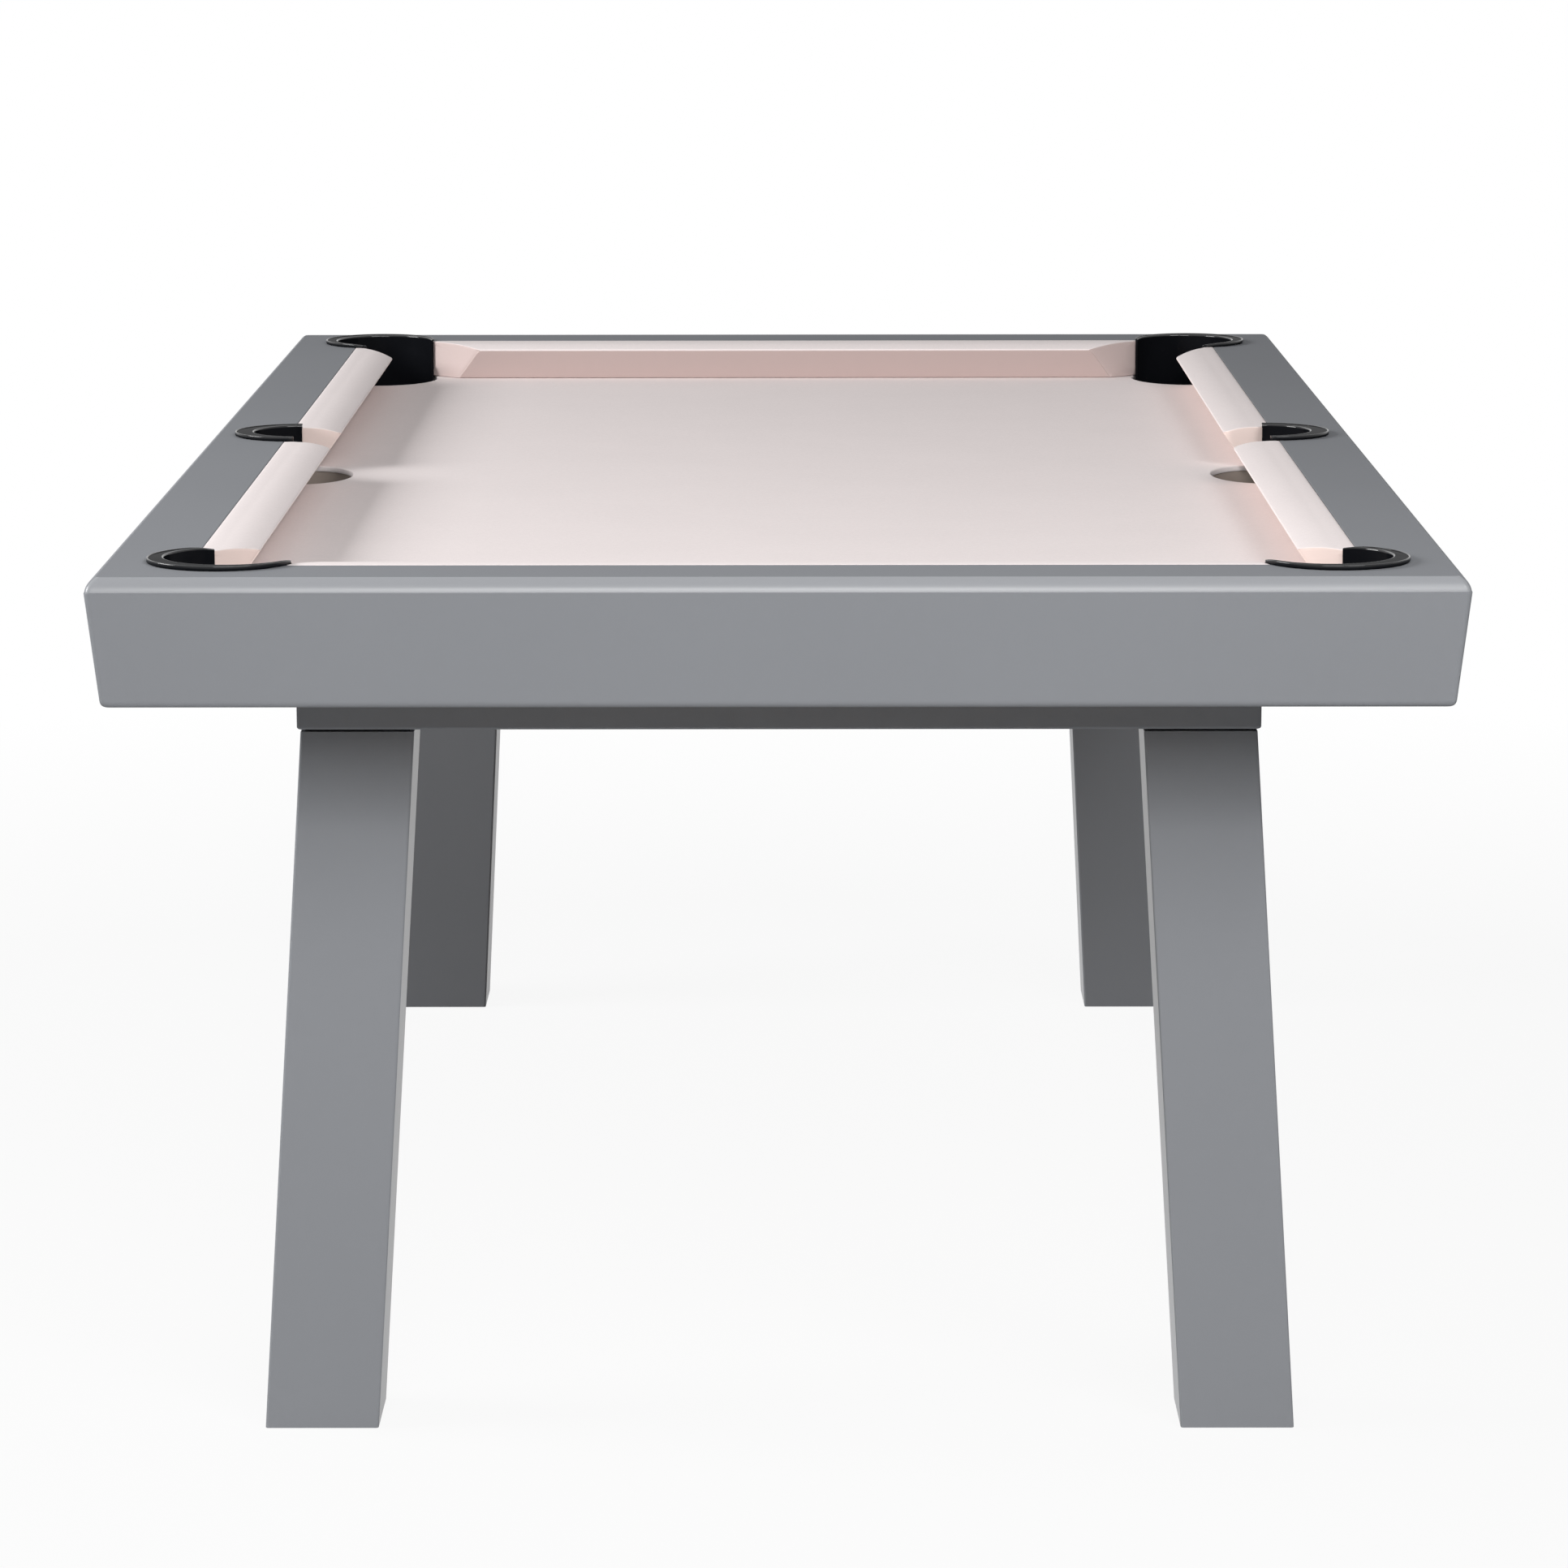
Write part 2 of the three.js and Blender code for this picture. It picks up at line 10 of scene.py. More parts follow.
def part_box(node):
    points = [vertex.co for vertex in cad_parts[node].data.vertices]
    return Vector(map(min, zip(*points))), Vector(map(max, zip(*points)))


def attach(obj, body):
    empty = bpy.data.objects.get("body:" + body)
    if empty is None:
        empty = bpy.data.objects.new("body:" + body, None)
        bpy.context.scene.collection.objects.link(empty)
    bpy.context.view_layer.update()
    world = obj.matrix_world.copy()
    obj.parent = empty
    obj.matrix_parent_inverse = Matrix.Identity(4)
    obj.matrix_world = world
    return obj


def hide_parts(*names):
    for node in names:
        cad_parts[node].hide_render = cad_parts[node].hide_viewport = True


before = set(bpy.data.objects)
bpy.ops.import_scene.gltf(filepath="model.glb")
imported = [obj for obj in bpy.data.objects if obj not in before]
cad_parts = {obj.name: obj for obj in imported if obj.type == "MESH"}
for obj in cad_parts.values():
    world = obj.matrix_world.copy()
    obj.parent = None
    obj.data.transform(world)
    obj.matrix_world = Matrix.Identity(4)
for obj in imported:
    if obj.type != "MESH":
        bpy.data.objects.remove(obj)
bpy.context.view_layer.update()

bl_info = {
    "name": "Pool Table",
    "version": (1, 0, 0),
    "blender": (4, 5, 0),
    "location": "View3D > Sidebar > Pool Table",
    "description": "Rails, pockets, cushions, cloth, legs and fittings of a seven-foot pool table",
    "category": "Object",
}

MM = 0.001
SIDES = {"left": -1, "right": 1}
ENDS = {"front": -1, "back": 1}
CORNERS = {f"{end}_{side}": (x, y) for end, y in ENDS.items() for side, x in SIDES.items()}


# ---- Levels and places, read from the frame ----------------------------------------------------

def low(node):
    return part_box(node)[0]


def high(node):
    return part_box(node)[1]


def middle_of(node):
    return [(a + b) / 2 for a, b in zip(*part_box(node))]


RAIL_TOP = high("right_rail")[2]
CLOTH_TOP = low("right_rail")[2]
RAIL_INNER_X, RAIL_INNER_Y = low("right_rail")[0], low("back_rail")[1]
RAIL_OUTER_X, RAIL_OUTER_Y = high("right_rail")[0], high("back_rail")[1]
APRON_BOTTOM = low("right_apron")[2]
SLAB_TOP, SLAB_BOTTOM = high("bed_slab")[2], low("bed_slab")[2]
SLAB_HALF_X, SLAB_HALF_Y = high("bed_slab")[0], high("bed_slab")[1]
BEAM_INNER_X, BEAM_INNER_Y = low("right_frame_beam")[0], low("back_frame_beam")[1]
BEAM_OUTER_X, BEAM_OUTER_Y = high("right_frame_beam")[0], high("back_frame_beam")[1]
BEAM_BOTTOM = low("right_frame_beam")[2]
CUSHION_NOSE_X = low("back_right_side_cushion")[0]
CUSHION_NOSE_Y = low("back_end_cushion")[1]
CUSHION_FOOT = low("back_right_side_cushion")[2]
SIDE_CUSHION_START = low("back_right_side_cushion")[1]
RIM_TOP = high("right_side_pocket")[2]
CUP_BOTTOM = low("right_side_pocket")[2]
LEG_FOOT_X, LEG_FOOT_Y, LEG_TOP = high("back_right_leg")
BOLT = middle_of("back_right_leg_bolt")
FOOT = middle_of("back_right_leveler_pad")


def linear(code):
    """A colour written as six hexadecimal digits, as linear red, green and blue."""
    parts = [int(code[i : i + 2], 16) / 255 for i in (0, 2, 4)]
    return tuple(p / 12.92 if p <= 0.04045 else ((p + 0.055) / 1.055) ** 2.4 for p in parts)


# ---- Settings ----------------------------------------------------------------------------------

def length(name, description, value):
    return bpy.props.FloatProperty(
        name=name, description=description, default=value, min=0.0, unit="LENGTH", precision=5
    )


def angle(name, description, degrees):
    return bpy.props.FloatProperty(
        name=name, description=description, default=math.radians(degrees), subtype="ANGLE"
    )


def amount(name, description, value):
    return bpy.props.FloatProperty(name=name, description=description, default=value, min=0.0)


def colour(name, description, code):
    return bpy.props.FloatVectorProperty(
        name=name, description=description, default=linear(code), subtype="COLOR", min=0.0, max=1.0
    )


def number(name, description, value):
    return bpy.props.IntProperty(name=name, description=description, default=value, min=1)


class POOL_PG_casing(bpy.types.PropertyGroup):
    """Sizes of the rails, aprons, base frame, legs and boards"""

    bullnose: length("Bullnose", "Height of the rails' rounded outer edge", 13.3 * MM)
    bullnose_width: length("Bullnose width", "Width of the rounded outer edge, seen from above", 9.5 * MM)
    bullnose_lean: angle("Bullnose lean", "Lean of the rounded edge where it meets the apron", 8)
    rail_set: length("Rail set back", "How far the rails stand in from the aprons' faces", 0.6 * MM)
    apron_thickness: length("Apron thickness", "Thickness of the board under the rails", 22 * MM)
    apron_lean: length("Apron lean", "How far the apron's bottom edge stands in from its top", 11.9 * MM)
    apron_ease: length("Apron bottom edge", "Radius of the apron's bottom edge", 7 * MM)
    beam_ease: length("Beam edge", "Radius of the base frame's lower edge", 3 * MM)
    corner_rounding: length("Corner rounding", "Radius of the table's upright corners", 6 * MM)
    arris: length("Arris", "Sanded width of the sharp edges", 0.7 * MM)
    mitre_gap: length("Mitre gap", "Gap from a bar's end to the mitre plane", 0.05 * MM)
    seat_gap: length("Seat gap", "Gap between pieces that fit each other", 0.3 * MM)
    leg_width: length("Leg width", "Leg across the table", 109 * MM)
    leg_depth: length("Leg depth", "Leg along the table", 101 * MM)
    leg_edge: length("Leg edge", "Radius of the legs' long edges", 2.5 * MM)
    leg_inset: length("Leg inset", "Base frame's face to the leg's face, at the top", 3.3 * MM)
    bolt_bore: length("Bolt bore", "Radius of the hole for a leg's bolt", 6.3 * MM)
    bolt_depth: length("Bolt depth", "Depth of the hole for a leg's bolt", 55.3 * MM)
    recess: length("Recess", "Radius of the recess for a leveler under a leg", 27 * MM)
    recess_depth: length("Recess depth", "Depth of the recess", 9.6 * MM)
    flange_bore: length("Flange bore", "Radius of the hole for the insert's flange", 11.3 * MM)
    flange_depth: length("Flange depth", "Foot of the leg to the end of that hole", 11.9 * MM)
    insert_bore: length("Insert bore", "Radius of the hole for a leveler's insert", 7.3 * MM)
    insert_depth: length("Insert depth", "Foot of the leg to the end of that hole", 60 * MM)
    board_ease: length("Board edge", "Radius of the cross boards' lower edges", 2.5 * MM)
    board_end: length("Board end", "Sanded width of the cross boards' ends", 0.6 * MM)


class POOL_PG_pocket(bpy.types.PropertyGroup):
    """Sizes of the pocket mouldings"""

    wall: length("Wall", "Thickness of the moulding", 3 * MM)
    corner_radius: length("Corner radius", "Inside radius of a corner pocket", 61 * MM)
    side_radius: length("Side radius", "Inside radius of a side pocket", 54 * MM)
    rim_shift: length("Rim shift", "Centre of the rim's outer edge beyond the pocket's", 9 * MM)
    corner_reach: length("Corner reach", "Length of a corner pocket's wall past its centre", 27 * MM)
    side_stop: length("Side stop", "How far short of its centre a side pocket's wall stops", 6 * MM)
    cup_drop: length("Cup drop", "Slab's underside down to the top of the full cup", 5 * MM)
    lip: length("Lip", "Radius of the rim's inner edge", 1.6 * MM)
    dish: length("Dish", "Top of the bead down to the rim's inner edge", 0.4 * MM)
    groove: length("Groove", "Top of the bead down to the rim beside it", 0.75 * MM)
    bead: length("Bead", "Width of the bead along the rim's outer edge", 1.8 * MM)
    tip_rounding: length("Corner tip", "Rounding of a corner rim's tips, seen from above", 5 * MM)
    tip_height: length("Tip height", "Height of a corner rim at its tips", 2.6 * MM)
    side_tip: length("Side tip", "Rounding of a side rim's tips, seen from above", 1.2 * MM)
    floor_fillet: length("Floor fillet", "Radius between the cup's wall and floor", 9 * MM)
    steps: number("Steps", "Divisions of the moulding along its rim", 72)


class POOL_PG_cushion(bpy.types.PropertyGroup):
    """Sizes of the cushions"""

    nose_drop: length("Nose drop", "Top of the rails down to the cushion's nose", 6.4 * MM)
    nose_radius: length("Nose radius", "Radius of the cloth round the nose", 1.8 * MM)
    crown_width: length("Crown width", "Nose to where the cushion's top is level", 34 * MM)
    crown_rise: length("Crown rise", "How far the stretched cloth domes over the top", 0.35 * MM)
    foot_setback: length("Foot setback", "How far the cushion's foot stands behind its nose", 26 * MM)
    end_setback: length("End cushion undercut", "The same, on the end cushions", 18 * MM)
    side_cut: length("Side cut", "How far a side mouth widens, rail to nose, at each side", 4 * MM)
    corner_cut: length("Corner cut", "How far a corner mouth widens, wall to nose, at each side", 59 * MM)
    nose_rounding: length("Nose corner", "Radius of the nose's ends, seen from above", 8 * MM)
    arris: length("Wrapped edge", "Radius of the cloth over the cushion's edges", 1.0 * MM)


class POOL_PG_bed(bpy.types.PropertyGroup):
    """Sizes of the bed cloth and its cut-outs"""

    roll: length("Roll", "Radius of the cloth over the edge of a cut-out", 1.6 * MM)
    thickness: length("Cloth thickness", "Thickness of the bed cloth", 0.9 * MM)
    turn_down: length("Turn-down", "Cloth glued down the slab's edges", 5 * MM)
    corner_across: length("Corner across", "Half size of a corner cut-out across the table", 70 * MM)
    corner_along: length("Corner along", "Half size of a corner cut-out along the table", 88 * MM)
    corner_shift: length("Corner shift", "Its centre beyond the pocket's, across the table", 3 * MM)
    side_hole: length("Side cut-out", "Half width of the bed's side cut-outs", 84 * MM)
    side_hole_reach: length("Side cut-out reach", "Depth of a side cut-out from its centre", 55.5 * MM)


class POOL_PG_fittings(bpy.types.PropertyGroup):
    """Sizes of the rail bolts, glue blocks, levelers and pocket collars"""

    rail_bolts: number("Rail bolts", "Bolts under each length of rail between two pockets", 3)
    bolt_inset: length("Bolt line", "Rail's inner face to its line of bolts", 20 * MM)
    bolt_head: length("Bolt head", "Radius to the corners of a rail bolt's head", 7.5 * MM)
    head_height: length("Head height", "Height of a rail bolt's head", 5.3 * MM)
    washer: length("Washer", "Radius of a rail bolt's washer", 14 * MM)
    washer_thickness: length("Washer thickness", "Thickness of a rail bolt's washer", 1.6 * MM)
    side_blocks: number("Side blocks", "Glue blocks behind each side apron", 6)
    end_blocks: number("End blocks", "Glue blocks behind each end apron", 3)
    block_length: length("Block length", "Length of a glue block", 70 * MM)
    block_size: length("Block size", "Height and depth of a glue block", 22 * MM)
    pad_ribs: number("Pad ribs", "Finger ribs round a leveler's pad", 30)
    rib_radius: length("Rib radius", "Radius of a finger rib", 1.1 * MM)
    stud_radius: length("Stud", "Radius of a leveler's stud", 5 * MM)
    thread_pitch: length("Thread pitch", "Travel of a leveler for one turn", 1.5 * MM)
    thread_depth: length("Thread depth", "Depth of the thread on a leveler's stud", 0.6 * MM)
    nut_height: length("Nut height", "Height of the hexagon on a leveler's stud", 4 * MM)
    play: length("Play", "Gap round the leveler's stud and under its hexagon", 0.3 * MM)
    reveal: length("Reveal", "Gap between the slab and what hangs under it", 0.2 * MM)
    collar_lap: length("Collar lap", "How far a pocket's collar runs on under the slab", 6 * MM)
    collar_plate: length("Collar plate", "Thickness of a collar", 2.5 * MM)
    collar_height: length("Collar height", "Height of a collar round its cup", 11 * MM)


class POOL_PG_colours(bpy.types.PropertyGroup):
    """Colours of the finishes"""

    paint: colour("Paint", "Satin lacquer of the rails, aprons, frame and legs", "84868a")
    cloth: colour("Cloth", "Wool cloth of the bed and cushions", "e8dfde")
    # Painted shade: the cloth on the cushions' faces and cut ends, darker and pinker than on top.
    wrapped: colour("Wrapped cloth", "The same cloth where it is drawn round an edge", "e0cdc6")
    # Painted shade, darker still: the cloth on the end cushions' faces.
    end_face: colour("End cushion face", "The same cloth drawn round an end cushion", "c4b2ae")
    moulding: colour("Moulding", "Pocket mouldings", "111215")
    slab: colour("Slab", "Fibreboard of the bed", "9a7d5c")
    slab_edge: colour("Slab edge", "Sealer on the slab's edges and cut-outs", "998c83")
    timber: colour("Timber", "Softwood under the bed", "c39d6c")
    steel: colour("Steel", "Zinc-plated fittings", "b4b7ba")
    plate: colour("Plate", "Blacked steel of the leg plates", "1c1d1f")
    pad: colour("Pad", "Nylon of the leveler pads", "242529")


class POOL_PG_stage(bpy.types.PropertyGroup):
    """Camera, lamps and floor"""

    camera: bpy.props.FloatVectorProperty(
        name="Camera",
        description="Where the camera stands",
        default=(0.022, -6.236, 1.5741),
        unit="LENGTH",
    )
    lens: amount("Lens", "Focal length on a 36 mm sensor, in millimetres", 129.75)
    pan: angle("Pan", "Turn of the camera to the left", 0.185)
    tilt: angle("Tilt", "Turn of the camera downwards", 10.2)
    roll: angle("Roll", "Turn of the camera about its own line of sight", -0.078)
    key: amount("Key lamp", "Watts of the soft lamp in front, high to the right", 158.0)
    side: amount("Side lamp", "Watts of the soft lamp at the left", 236.0)
    front: amount("Front lamp", "Watts of the soft lamp in front", 88.0)
    back: amount("Back lamp", "Watts of the soft lamp behind", 10.0)
    room: amount("Room light", "Strength of the even light from all round", 0.16)


class POOL_PG_table(bpy.types.PropertyGroup):
    """Everything that can be set on the table"""

    casing: bpy.props.PointerProperty(type=POOL_PG_casing, name="Casing")
    pocket: bpy.props.PointerProperty(type=POOL_PG_pocket, name="Pockets")
    cushion: bpy.props.PointerProperty(type=POOL_PG_cushion, name="Cushions")
    bed: bpy.props.PointerProperty(type=POOL_PG_bed, name="Bed")
    fittings: bpy.props.PointerProperty(type=POOL_PG_fittings, name="Fittings")
    colours: bpy.props.PointerProperty(type=POOL_PG_colours, name="Colours")
    stage: bpy.props.PointerProperty(type=POOL_PG_stage, name="Stage")


# ---- Node graphs -------------------------------------------------------------------------------

class Wire:
    """An output socket that Python's operators work on, by adding Math nodes to its graph."""

    def __init__(self, graph, socket):
        self.graph = graph
        self.socket = socket

    def math(self, operation, *values):
        return self.graph.add("ShaderNodeMath", enumerate(values), operation=operation)

    def __add__(self, other):
        return self.math("ADD", self, other)

    def __sub__(self, other):
        return self.math("SUBTRACT", self, other)

    def __rsub__(self, other):
        return self.math("SUBTRACT", other, self)

    def __mul__(self, other):
        return self.math("MULTIPLY", self, other)

    def __pow__(self, other):
        return self.math("POWER", self, other)

    __radd__ = __add__
    __rmul__ = __mul__


class Graph:
    """Adds nodes to one shader or geometry tree."""

    def __init__(self, tree):
        self.tree = tree
        tree.nodes.clear()

    def add(self, kind, sockets=(), output=0, **options):
        """One node: its options are set first, then its sockets' values or links. Returns an output."""
        node = self.tree.nodes.new(kind)
        for name, value in options.items():
            setattr(node, name, value)
        for key, value in dict(sockets).items():
            if isinstance(value, (Wire, list)):
                for wire in value if isinstance(value, list) else [value]:
                    self.tree.links.new(wire.socket, node.inputs[key])
            else:
                node.inputs[key].default_value = value
        return Wire(self, node.outputs[output]) if node.outputs else None

    def mix(self, factor, first, second):
        """A colour between two colours."""
        first, second = (c if isinstance(c, Wire) else (*c, 1.0) for c in (first, second))
        return self.add("ShaderNodeMix", {0: factor, 6: first, 7: second}, output=2, data_type="RGBA")

    def place(self, scale=(1.0, 1.0, 1.0)):
        """Object coordinates, each scaled."""
        where = self.add("ShaderNodeTexCoord", output=3)
        return self.add("ShaderNodeMapping", {"Vector": where, "Scale": scale})

    def noise(self, scale, detail=2.0, stretch=(1.0, 1.0, 1.0), rough=0.5, distortion=0.0):
        """Fractal noise; a stretch below 1 draws it out along that axis."""
        sockets = {"Vector": self.place(stretch), "Scale": scale, "Detail": detail}
        return self.add("ShaderNodeTexNoise", {**sockets, "Roughness": rough, "Distortion": distortion})

    def bump(self, height, strength, depth):
        """A normal raised by a height from 0 to 1, which stands for a depth in metres."""
        return self.add("ShaderNodeBump", {"Height": height, "Strength": strength, "Distance": depth})

    def share(self, value, start, stop, least=0.0):
        """How far a value has come from start to stop, from least to 1."""
        sockets = {"Value": value, "From Min": start, "From Max": stop, "To Min": least}
        return self.add("ShaderNodeMapRange", sockets)

    def level(self, axis=2):
        """An object coordinate along one axis."""
        return self.add("ShaderNodeSeparateXYZ", {0: self.place()}, output=axis)

    def marked(self, name):
        """The value of a point attribute."""
        return self.add("ShaderNodeAttribute", output=2, attribute_name=name)


FINISHES = {}


def new_finish(name, paint):
    """A material by name, made the first time by paint(graph), which returns its shader's sockets."""
    if name in FINISHES:
        return FINISHES[name]
    material = FINISHES[name] = bpy.data.materials.new(name)
    material.use_nodes = True
    graph = Graph(material.node_tree)
    shader = graph.add("ShaderNodeBsdfPrincipled", paint(graph))
    graph.add("ShaderNodeOutputMaterial", {"Surface": shader})
    return material


def shades(shade, spread):
    """A colour a little darker and a little lighter."""
    return [tuple(min(1.0, part * (1 + step)) for part in shade) for step in (-spread, spread)]


def satin_paint():
    """Lacquer; the attribute polished makes bullnoses and legs' inner faces glossier, and paints them
    lighter as a highlight.
    """
    def paint(graph):
        drift = graph.noise(2.6, 3.0)
        peel = graph.noise(330.0, 2.0)
        grain = graph.noise(1900.0, 1.0)
        dark, light = shades(colours().paint, 0.045)
        coat = graph.mix(drift * 0.7 + grain * 0.3, dark, light)
        polished = graph.marked("polished")
        return {
            # Painted highlight: where polished, the colour is lightened towards pale grey.
            "Base Color": graph.mix(polished * 0.05, coat, (0.8, 0.8, 0.8)),
            "Roughness": 0.56 + drift * 0.05 + grain * 0.05,
            "Specular IOR Level": 0.0,
            "Coat Weight": 0.03 + grain * 0.02 + polished * 0.8,
            "Coat Roughness": 0.3,
            "Normal": graph.bump(peel * 0.75 + grain * 0.25, 0.16, 0.0003),
        }

    return new_finish("satin_grey_paint", paint)


def wool_cloth(name, drawn):
    """Worsted cloth; the colour drawn is painted shade, mixed in where a point attribute is 1, on the
    cushions' faces, and not on top, where it is 0.
    """
    def paint(graph):
        mottle = graph.noise(9.0, 2.0)
        tufts = graph.noise(260.0, 3.0, rough=0.6)
        fibre = graph.noise(760.0, 2.0, stretch=(1.0, 0.7, 1.0), distortion=0.6)
        dark, light = shades(colours().cloth, 0.04)
        blend = mottle * 0.14 + tufts * 0.4 + fibre * 0.46
        nap = graph.mix(graph.share(blend, 0.33, 0.67), dark, light)
        return {
            # Painted shade: the cushions' faces and cut ends take the darker, pinker colour.
            "Base Color": graph.mix(graph.marked("wrapped"), nap, drawn),
            "Roughness": 0.88 + fibre * 0.1,
            "Specular IOR Level": 0.05,
            "Normal": graph.bump(tufts * 0.45 + fibre * 0.55, 0.3, 0.0005),
        }

    return new_finish(name, paint)


def black_moulding():
    """Moulded plastic; the attribute polished is 1 on the rim's rounded edges, and near 0 elsewhere."""
    def paint(graph):
        cloud = graph.noise(40.0, 2.0)
        stipple = graph.noise(1300.0, 2.0)
        polished = graph.marked("polished")
        dark, light = shades(colours().moulding, 0.16)
        return {
            "Base Color": graph.mix(cloud, dark, light),
            "Roughness": 0.42 + cloud * 0.08 + stipple * 0.06,
            "Specular IOR Level": 0.0,
            "Coat Weight": 0.04 + cloud * 0.03 + polished * 0.8,
            "Coat Roughness": 0.1,
            "Normal": graph.bump(stipple, 0.04, 0.0002),
        }

    return new_finish("glossed_black_moulding", paint)


def fibreboard():
    """Pressed chips, with a sealer on the edges between the slab's two faces."""
    def paint(graph):
        chips = graph.noise(240.0, 4.0, rough=0.7, distortion=1.0)
        cloud = graph.noise(9.0, 3.0)
        dark, light = shades(colours().slab, 0.22)
        blend = chips * 0.8 + cloud * 0.2
        board = graph.mix(graph.share(blend, 0.36, 0.62), dark, light)
        level = graph.level()
        below, above = (SLAB_BOTTOM, SLAB_BOTTOM + MM), (SLAB_TOP, SLAB_TOP - MM)
        edge = graph.share(level, *below) * graph.share(level, *above)
        return {
            "Base Color": graph.mix(edge, board, colours().slab_edge),
            "Roughness": 0.72 + chips * 0.15,
            "Specular IOR Level": 0.3,
            "Normal": graph.bump(chips, 0.25, 0.0003),
        }

    return new_finish("fibreboard", paint)


def softwood(name, along):
    """Pine whose grain runs across the table, or upright: along is 0 or 2."""
    def paint(graph):
        stretch = tuple(0.06 if axis == along else 1.0 for axis in range(3))
        warp = graph.noise(6.0, 3.0, stretch=stretch)
        growth = graph.level(1) * 300.0 + graph.level(2) * 420.0 + warp * 26.0
        rings = growth.math("SINE", growth)
        pores = graph.noise(700.0, 2.0, stretch=stretch)
        dark, light = shades(colours().timber, 0.2)
        stripe = (rings * 0.5 + 0.5) ** 2.0
        return {
            "Base Color": graph.mix(stripe * 0.65 + pores * 0.35, light, dark),
            "Roughness": 0.6 + pores * 0.2,
            "Specular IOR Level": 0.3,
            "Normal": graph.bump(pores * 0.6 + stripe * 0.4, 0.3, 0.0003),
        }

    return new_finish(name, paint)


def zinc_steel():
    """Bright zinc: small spangles, brushed upright."""
    def paint(graph):
        spangle = graph.add("ShaderNodeTexVoronoi", {"Vector": graph.place(), "Scale": 420.0}, output=1)
        spangle = graph.add("ShaderNodeSeparateColor", {0: spangle})
        brushed = graph.noise(500.0, 2.0, stretch=(1.0, 1.0, 0.1))
        dark, light = shades(colours().steel, 0.14)
        return {
            "Base Color": graph.mix(spangle * 0.6 + brushed * 0.4, dark, light),
            "Metallic": 1.0,
            "Roughness": 0.3 + brushed * 0.16,
            "Normal": graph.bump(brushed, 0.12, 0.0002),
        }

    return new_finish("zinc_plated_steel", paint)


def blacked_steel():
    """Steel with a dull black skin."""
    def paint(graph):
        cloud = graph.noise(60.0, 3.0)
        dark, light = shades(colours().plate, 0.2)
        return {
            "Base Color": graph.mix(cloud, dark, light),
            "Roughness": 0.45 + cloud * 0.2,
            "Specular IOR Level": 0.1,
            "Normal": graph.bump(graph.noise(800.0), 0.1, 0.0002),
        }

    return new_finish("blacked_steel", paint)


def pad_nylon():
    """Stippled nylon."""
    def paint(graph):
        stipple = graph.noise(900.0, 3.0)
        cloud = graph.noise(60.0, 2.0)
        dark, light = shades(colours().pad, 0.2)
        return {
            "Base Color": graph.mix(cloud, dark, light),
            "Roughness": 0.55 + stipple * 0.2,
            "Normal": graph.bump(stipple, 0.2, 0.0002),
        }

    return new_finish("pad_nylon", paint)


# ---- Meshes ------------------------------------------------------------------------------------

def settings():
    """The table's settings, as the panel shows them."""
    return bpy.context.scene.pool_table


def colours():
    return settings().colours


def new_piece(name, points, faces, finish, crease=32.0, sheet=False):
    """A piece from points and faces: faces turned outwards, or up on a sheet, and sharp edges kept."""
    mesh = bpy.data.meshes.new(name)
    mesh.from_pydata([tuple(point) for point in points], [], faces)
    shell = bmesh.new()
    shell.from_mesh(mesh)
    bmesh.ops.remove_doubles(shell, verts=shell.verts, dist=1e-6)
    bmesh.ops.recalc_face_normals(shell, faces=shell.faces)
    if sheet and max(shell.faces, key=lambda face: face.calc_area()).normal.z < 0:
        bmesh.ops.reverse_faces(shell, faces=shell.faces)
    shell.to_mesh(mesh)
    shell.free()
    mesh.shade_smooth()
    mesh.set_sharp_from_angle(angle=math.radians(crease))
    mesh.materials.append(finish)
    piece = bpy.data.objects.new(name, mesh)
    bpy.context.scene.collection.objects.link(piece)
    return piece


def mark(piece, name, values):
    """Gives each of the piece's points a value that its finish reads."""
    marks = piece.data.attributes.new(name, "FLOAT", "POINT")
    if len(values) != len(marks.data):
        raise RuntimeError(f"{piece.name}: the attribute {name} needs one value for each point")
    marks.data.foreach_set("value", values)


def weight_normals(piece):
    """Shades the wide faces flat, so that only the eased edges between them turn."""
    modifier = piece.modifiers.new("weighted_normals", "WEIGHTED_NORMAL")
    modifier.keep_sharp = True


def seat(piece, body, slot, *stands_for):
    """Attaches the piece to the body it moves with and hides the solids it stands for; slot is not used.
    """
    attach(piece, body)
    if stands_for:
        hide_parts(*stands_for)
    return piece


def band(near, far):
    """Quads between two rings of point numbers."""
    return list(zip(near, near[1:] + near[:1], far[1:] + far[:1], far))


def skin(rings):
    """Points and faces of an open skin over rings."""
    count = len(rings[0])
    numbers = [list(range(start, start + count)) for start in range(0, len(rings) * count, count)]
    faces = []
    for near, far in zip(numbers, numbers[1:]):
        faces += band(near, far)
    return [point for ring in rings for point in ring], faces


def lofted(rings):
    """The same, closed by a face at each end."""
    points, faces = skin(rings)
    count = len(rings[0])
    faces.append(tuple(range(count)))
    faces.append(tuple(range(len(points) - count, len(points))))
    return points, faces


def between(first, last, share):
    """The point that lies a share of the way from the first to the last."""
    return tuple(a + (b - a) * share for a, b in zip(first, last))


def oval(x, y, across, along, start, stop, steps):
    """Points of an oval's arc, its angles in degrees, both ends included."""
    turns = [math.radians(start + (stop - start) * step / steps) for step in range(steps + 1)]
    return [(x + across * math.cos(turn), y + along * math.sin(turn)) for turn in turns]


def arc(x, y, radius, start, stop, steps):
    return oval(x, y, radius, radius, start, stop, steps)


